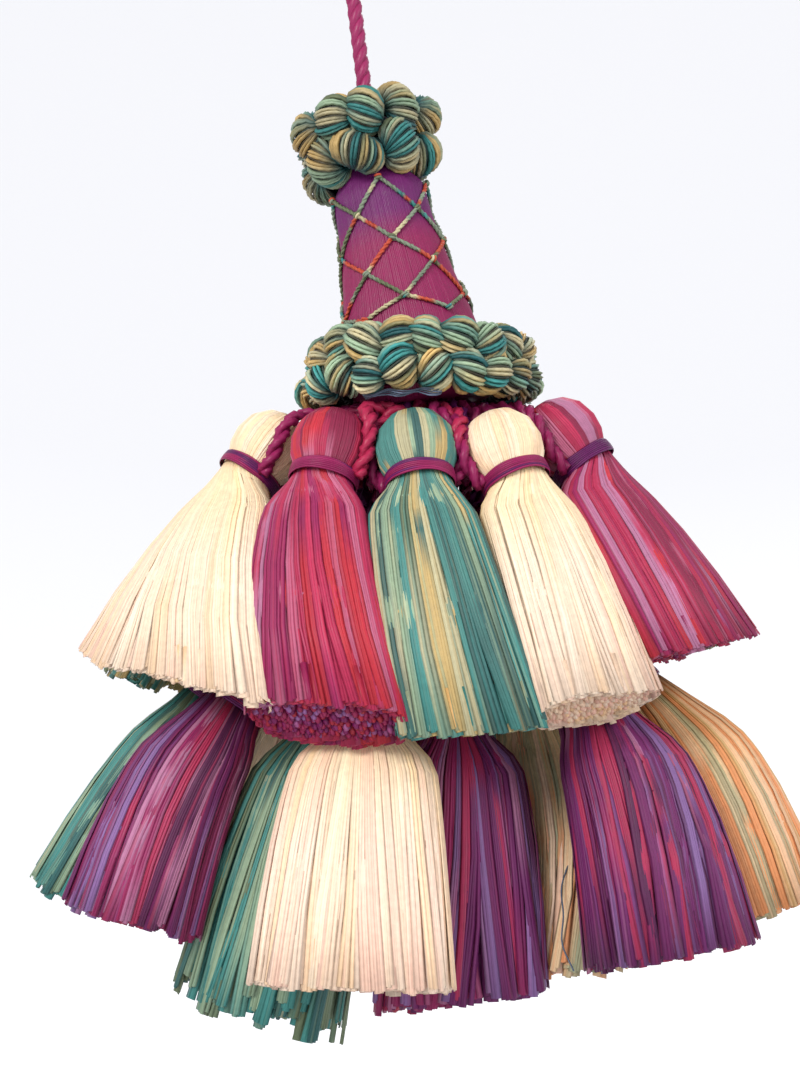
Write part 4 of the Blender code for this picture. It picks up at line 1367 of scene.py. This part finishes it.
def build_cord():
    """The twisted cord with its loop, and the knot that closes it."""
    chance = chance_for("hanging_cord")
    dye = Dye(chance, "cord", zones=6, steady=0.7)
    route = cord_route()
    fine = through(route, 2 * len(route))
    skein = Skein()
    skein.add_cord(fine, dye, ROPE_TWIST, ROPE_PLIES, sides=8, start=0.0)
    nodes = ["hanging_cord", "hanging_loop"]
    cord = skein.finish("hanging_cord_twist", "twisted_satin", nodes)
    knot = build_knot(dye)


def build_knot(dye):
    """Turns of the same cord drawn tight round both its legs."""
    turn = np.linspace(0.0, math.tau * KNOT_TURNS, KNOT_STATIONS)
    height = np.linspace(KNOT_BOTTOM + KNOT_INSET, KNOT_TOP - KNOT_INSET, KNOT_STATIONS)
    line = round_axis(KNOT_REACH, turn, height + KNOT_SWAY * np.sin(turn + 0.8))
    skein = Skein()
    skein.add_cord(line, dye, TIGHT_TWIST, ROPE_PLIES, sides=7, start=0.0)
    return skein.finish("hanging_knot_twist", "twisted_satin", ["hanging_knot"])


# The stage.

# The cord's mark that the camera is set by, and its place in the frame, in parts of the frame's height.
EYE_MARK = Vector((0.0, 0.0, -47.3 * MM))
EYE_MARK_OFFSET = (-35.0, 441.0)
FRAME_HEIGHT = 1067
SENSOR = 36.0
# The middle that the lights face.
LIT_MIDDLE = Vector((0.0, 0.0, -0.11))
# Each light: name, place, diameter, which power of the stage it has, and colour.
LIGHTS = (
    ("key_light", (-0.45, -0.75, 0.45), 0.45, "key_power", (1.0, 0.99, 0.97)),
    ("fill_light", (0.8, -0.5, 0.1), 0.6, "fill_power", (0.97, 0.98, 1.0)),
    ("back_light", (0.2, 0.8, 0.6), 0.6, "fill_power", (1.0, 1.0, 1.0)),
)
SKY = (0.96, 0.97, 1.0, 1.0)
# The floor is a dish in m: (radius, height) of its flat, the bend's radius, and the dish's own.
FLOOR_HEIGHT = -0.34
BOWL_RADIUS = 1.6
BOWL_HEIGHT = 1.5
BOWL_BEND = 0.7
BOWL_STEPS = 24
BOWL_SIDES = 96


def build_camera():
    stage = bpy.context.scene.stage_settings
    data = bpy.data.cameras.new("camera")
    data.lens = stage.lens
    data.sensor_fit = "VERTICAL"
    data.sensor_width = SENSOR
    data.sensor_height = SENSOR
    data.clip_start = 1.0 * MM
    camera = linked("camera", data)
    right = Vector((math.cos(stage.roll), 0.0, -math.sin(stage.roll)))
    up = Vector((math.sin(stage.roll), 0.0, math.cos(stage.roll)))
    back = Vector((0.0, -1.0, 0.0))
    step = SENSOR / FRAME_HEIGHT / stage.lens * stage.distance
    target = EYE_MARK - right * EYE_MARK_OFFSET[0] * step - up * EYE_MARK_OFFSET[1] * step
    place = target + back * stage.distance
    camera.matrix_world = Matrix.Translation(place) @ Matrix((right, up, back)).transposed().to_4x4()
    bpy.context.scene.camera = camera


def build_floor():
    """A wide pale dish: flat below the tassel, and curving up all round far away from it."""
    flat = BOWL_RADIUS - BOWL_BEND
    angles = np.linspace(0.0, math.pi / 2, BOWL_STEPS)[1:]
    bend = np.stack([flat + BOWL_BEND * np.sin(angles), BOWL_BEND * (1 - np.cos(angles))], axis=1)
    profile = np.concatenate([[(0.02, 0.0), (0.4, 0.0), (flat, 0.0)], bend, [(BOWL_RADIUS, BOWL_HEIGHT)]])
    turns = np.linspace(0.0, math.tau, BOWL_SIDES, endpoint=False)
    places = np.stack([
        profile[:, :1] * np.cos(turns), profile[:, :1] * np.sin(turns),
        FLOOR_HEIGHT + np.repeat(profile[:, 1:], BOWL_SIDES, axis=1),
    ], axis=-1)
    index = np.arange(len(profile) * BOWL_SIDES).reshape(-1, BOWL_SIDES)
    after = np.roll(index, -1, axis=1)
    faces = np.stack([index[:-1], index[1:], after[1:], after[:-1]], axis=-1).reshape(-1, 4)
    mesh = bpy.data.meshes.new("floor")
    mesh.from_pydata(places.reshape(-1, 3).tolist(), [], faces.tolist() + [index[0].tolist()])
    mesh.validate()
    mesh.shade_smooth()
    material = bpy.data.materials.new("pale_floor")
    material.use_nodes = True
    shader = material.node_tree.nodes["Principled BSDF"].inputs
    shader["Base Color"].default_value = (*bpy.context.scene.stage_settings.floor, 1.0)
    shader["Roughness"].default_value = 0.9
    shader["Emission Color"].default_value = (1.0, 1.0, 1.0, 1.0)
    shader["Emission Strength"].default_value = 0.10
    mesh.materials.append(material)
    floor = linked("floor", mesh)
    floor.visible_diffuse = False


def add_light(name, place, size, power, colour):
    """A soft round light that faces the tassel's middle."""
    data = bpy.data.lights.new(name, "AREA")
    data.shape = "DISK"
    data.size = size
    data.energy = power
    data.color = colour
    light = linked(name, data)
    light.location = place
    light.rotation_mode = "QUATERNION"
    light.rotation_quaternion = (Vector(place) - LIT_MIDDLE).to_track_quat("Z", "Y")


class TASSEL_OT_stage(Operator):
    """Makes the camera, the soft lights, the pale surround and the floor."""

    bl_idname = "tassel.stage"
    bl_label = "Stage"

    def execute(self, context):
        stage = context.scene.stage_settings
        build_camera()
        build_floor()
        for name, place, size, power, colour in LIGHTS:
            add_light(name, place, size, getattr(stage, power), colour)
        world = bpy.data.worlds.new("surround")
        world.use_nodes = True
        sky = world.node_tree.nodes["Background"]
        sky.inputs["Color"].default_value = SKY
        sky.inputs["Strength"].default_value = stage.surround
        context.scene.world = world
        context.scene.view_settings.view_transform = "Standard"
        return {"FINISHED"}


class TASSEL_OT_cord(Operator):
    """Twists the hanging cord, its loop and its knot."""

    bl_idname = "tassel.cord"
    bl_label = "Hanging cord"

    def execute(self, context):
        build_cord()
        return {"FINISHED"}


class TASSEL_OT_head(Operator):
    """Winds the head, and gathers the cords below it."""

    bl_idname = "tassel.head"
    bl_label = "Wound head"

    def execute(self, context):
        build_head()
        build_bundle()
        return {"FINISHED"}


class TASSEL_OT_net(Operator):
    """Knots the net over the head."""

    bl_idname = "tassel.net"
    bl_label = "Head net"

    def execute(self, context):
        build_net()
        return {"FINISHED"}


class TASSEL_OT_ruffs(Operator):
    """Winds the lobes of both ruffs."""

    bl_idname = "tassel.ruffs"
    bl_label = "Ruffs"

    def execute(self, context):
        for name in RUFFS:
            build_ruff(name)
        return {"FINISHED"}


class TASSEL_OT_small_tassels(Operator):
    """Lays the strands and balls of the small tassels, and ties their necks."""

    bl_idname = "tassel.small_tassels"
    bl_label = "Small tassels"

    def execute(self, context):
        for tier, rows in TIERS.items():
            for row in rows:
                tassel = SmallTassel(tier, row)
                build_small_tassel(tassel)
                build_tie(tassel)
        return {"FINISHED"}


OPERATORS = (
    TASSEL_OT_stage,
    TASSEL_OT_cord,
    TASSEL_OT_head,
    TASSEL_OT_net,
    TASSEL_OT_ruffs,
    TASSEL_OT_small_tassels,
)


class TASSEL_PT_panel(Panel):
    """Lists the tassel's pieces in the order they are made in."""

    bl_idname = "TASSEL_PT_panel"
    bl_label = "Key Tassel"
    bl_space_type = "VIEW_3D"
    bl_region_type = "UI"
    bl_category = "Tassel"

    def draw(self, context):
        for operator in OPERATORS:
            self.layout.operator(operator.bl_idname)


GROUPS = {"yarn_colours": YarnColours, "tassel_sizes": TasselSizes, "stage_settings": StageSettings}
CLASSES = (*GROUPS.values(), *OPERATORS, TASSEL_PT_panel)


def register():
    for cls in CLASSES:
        bpy.utils.register_class(cls)
    for name, group in GROUPS.items():
        setattr(bpy.types.Scene, name, PointerProperty(type=group))


def unregister():
    for name in GROUPS:
        delattr(bpy.types.Scene, name)
    for cls in reversed(CLASSES):
        bpy.utils.unregister_class(cls)


def main():
    register()
    bpy.ops.tassel.stage()
    bpy.ops.tassel.cord()
    bpy.ops.tassel.head()
    bpy.ops.tassel.net()
    bpy.ops.tassel.ruffs()
    bpy.ops.tassel.small_tassels()


if __name__ == "__main__":
    main()
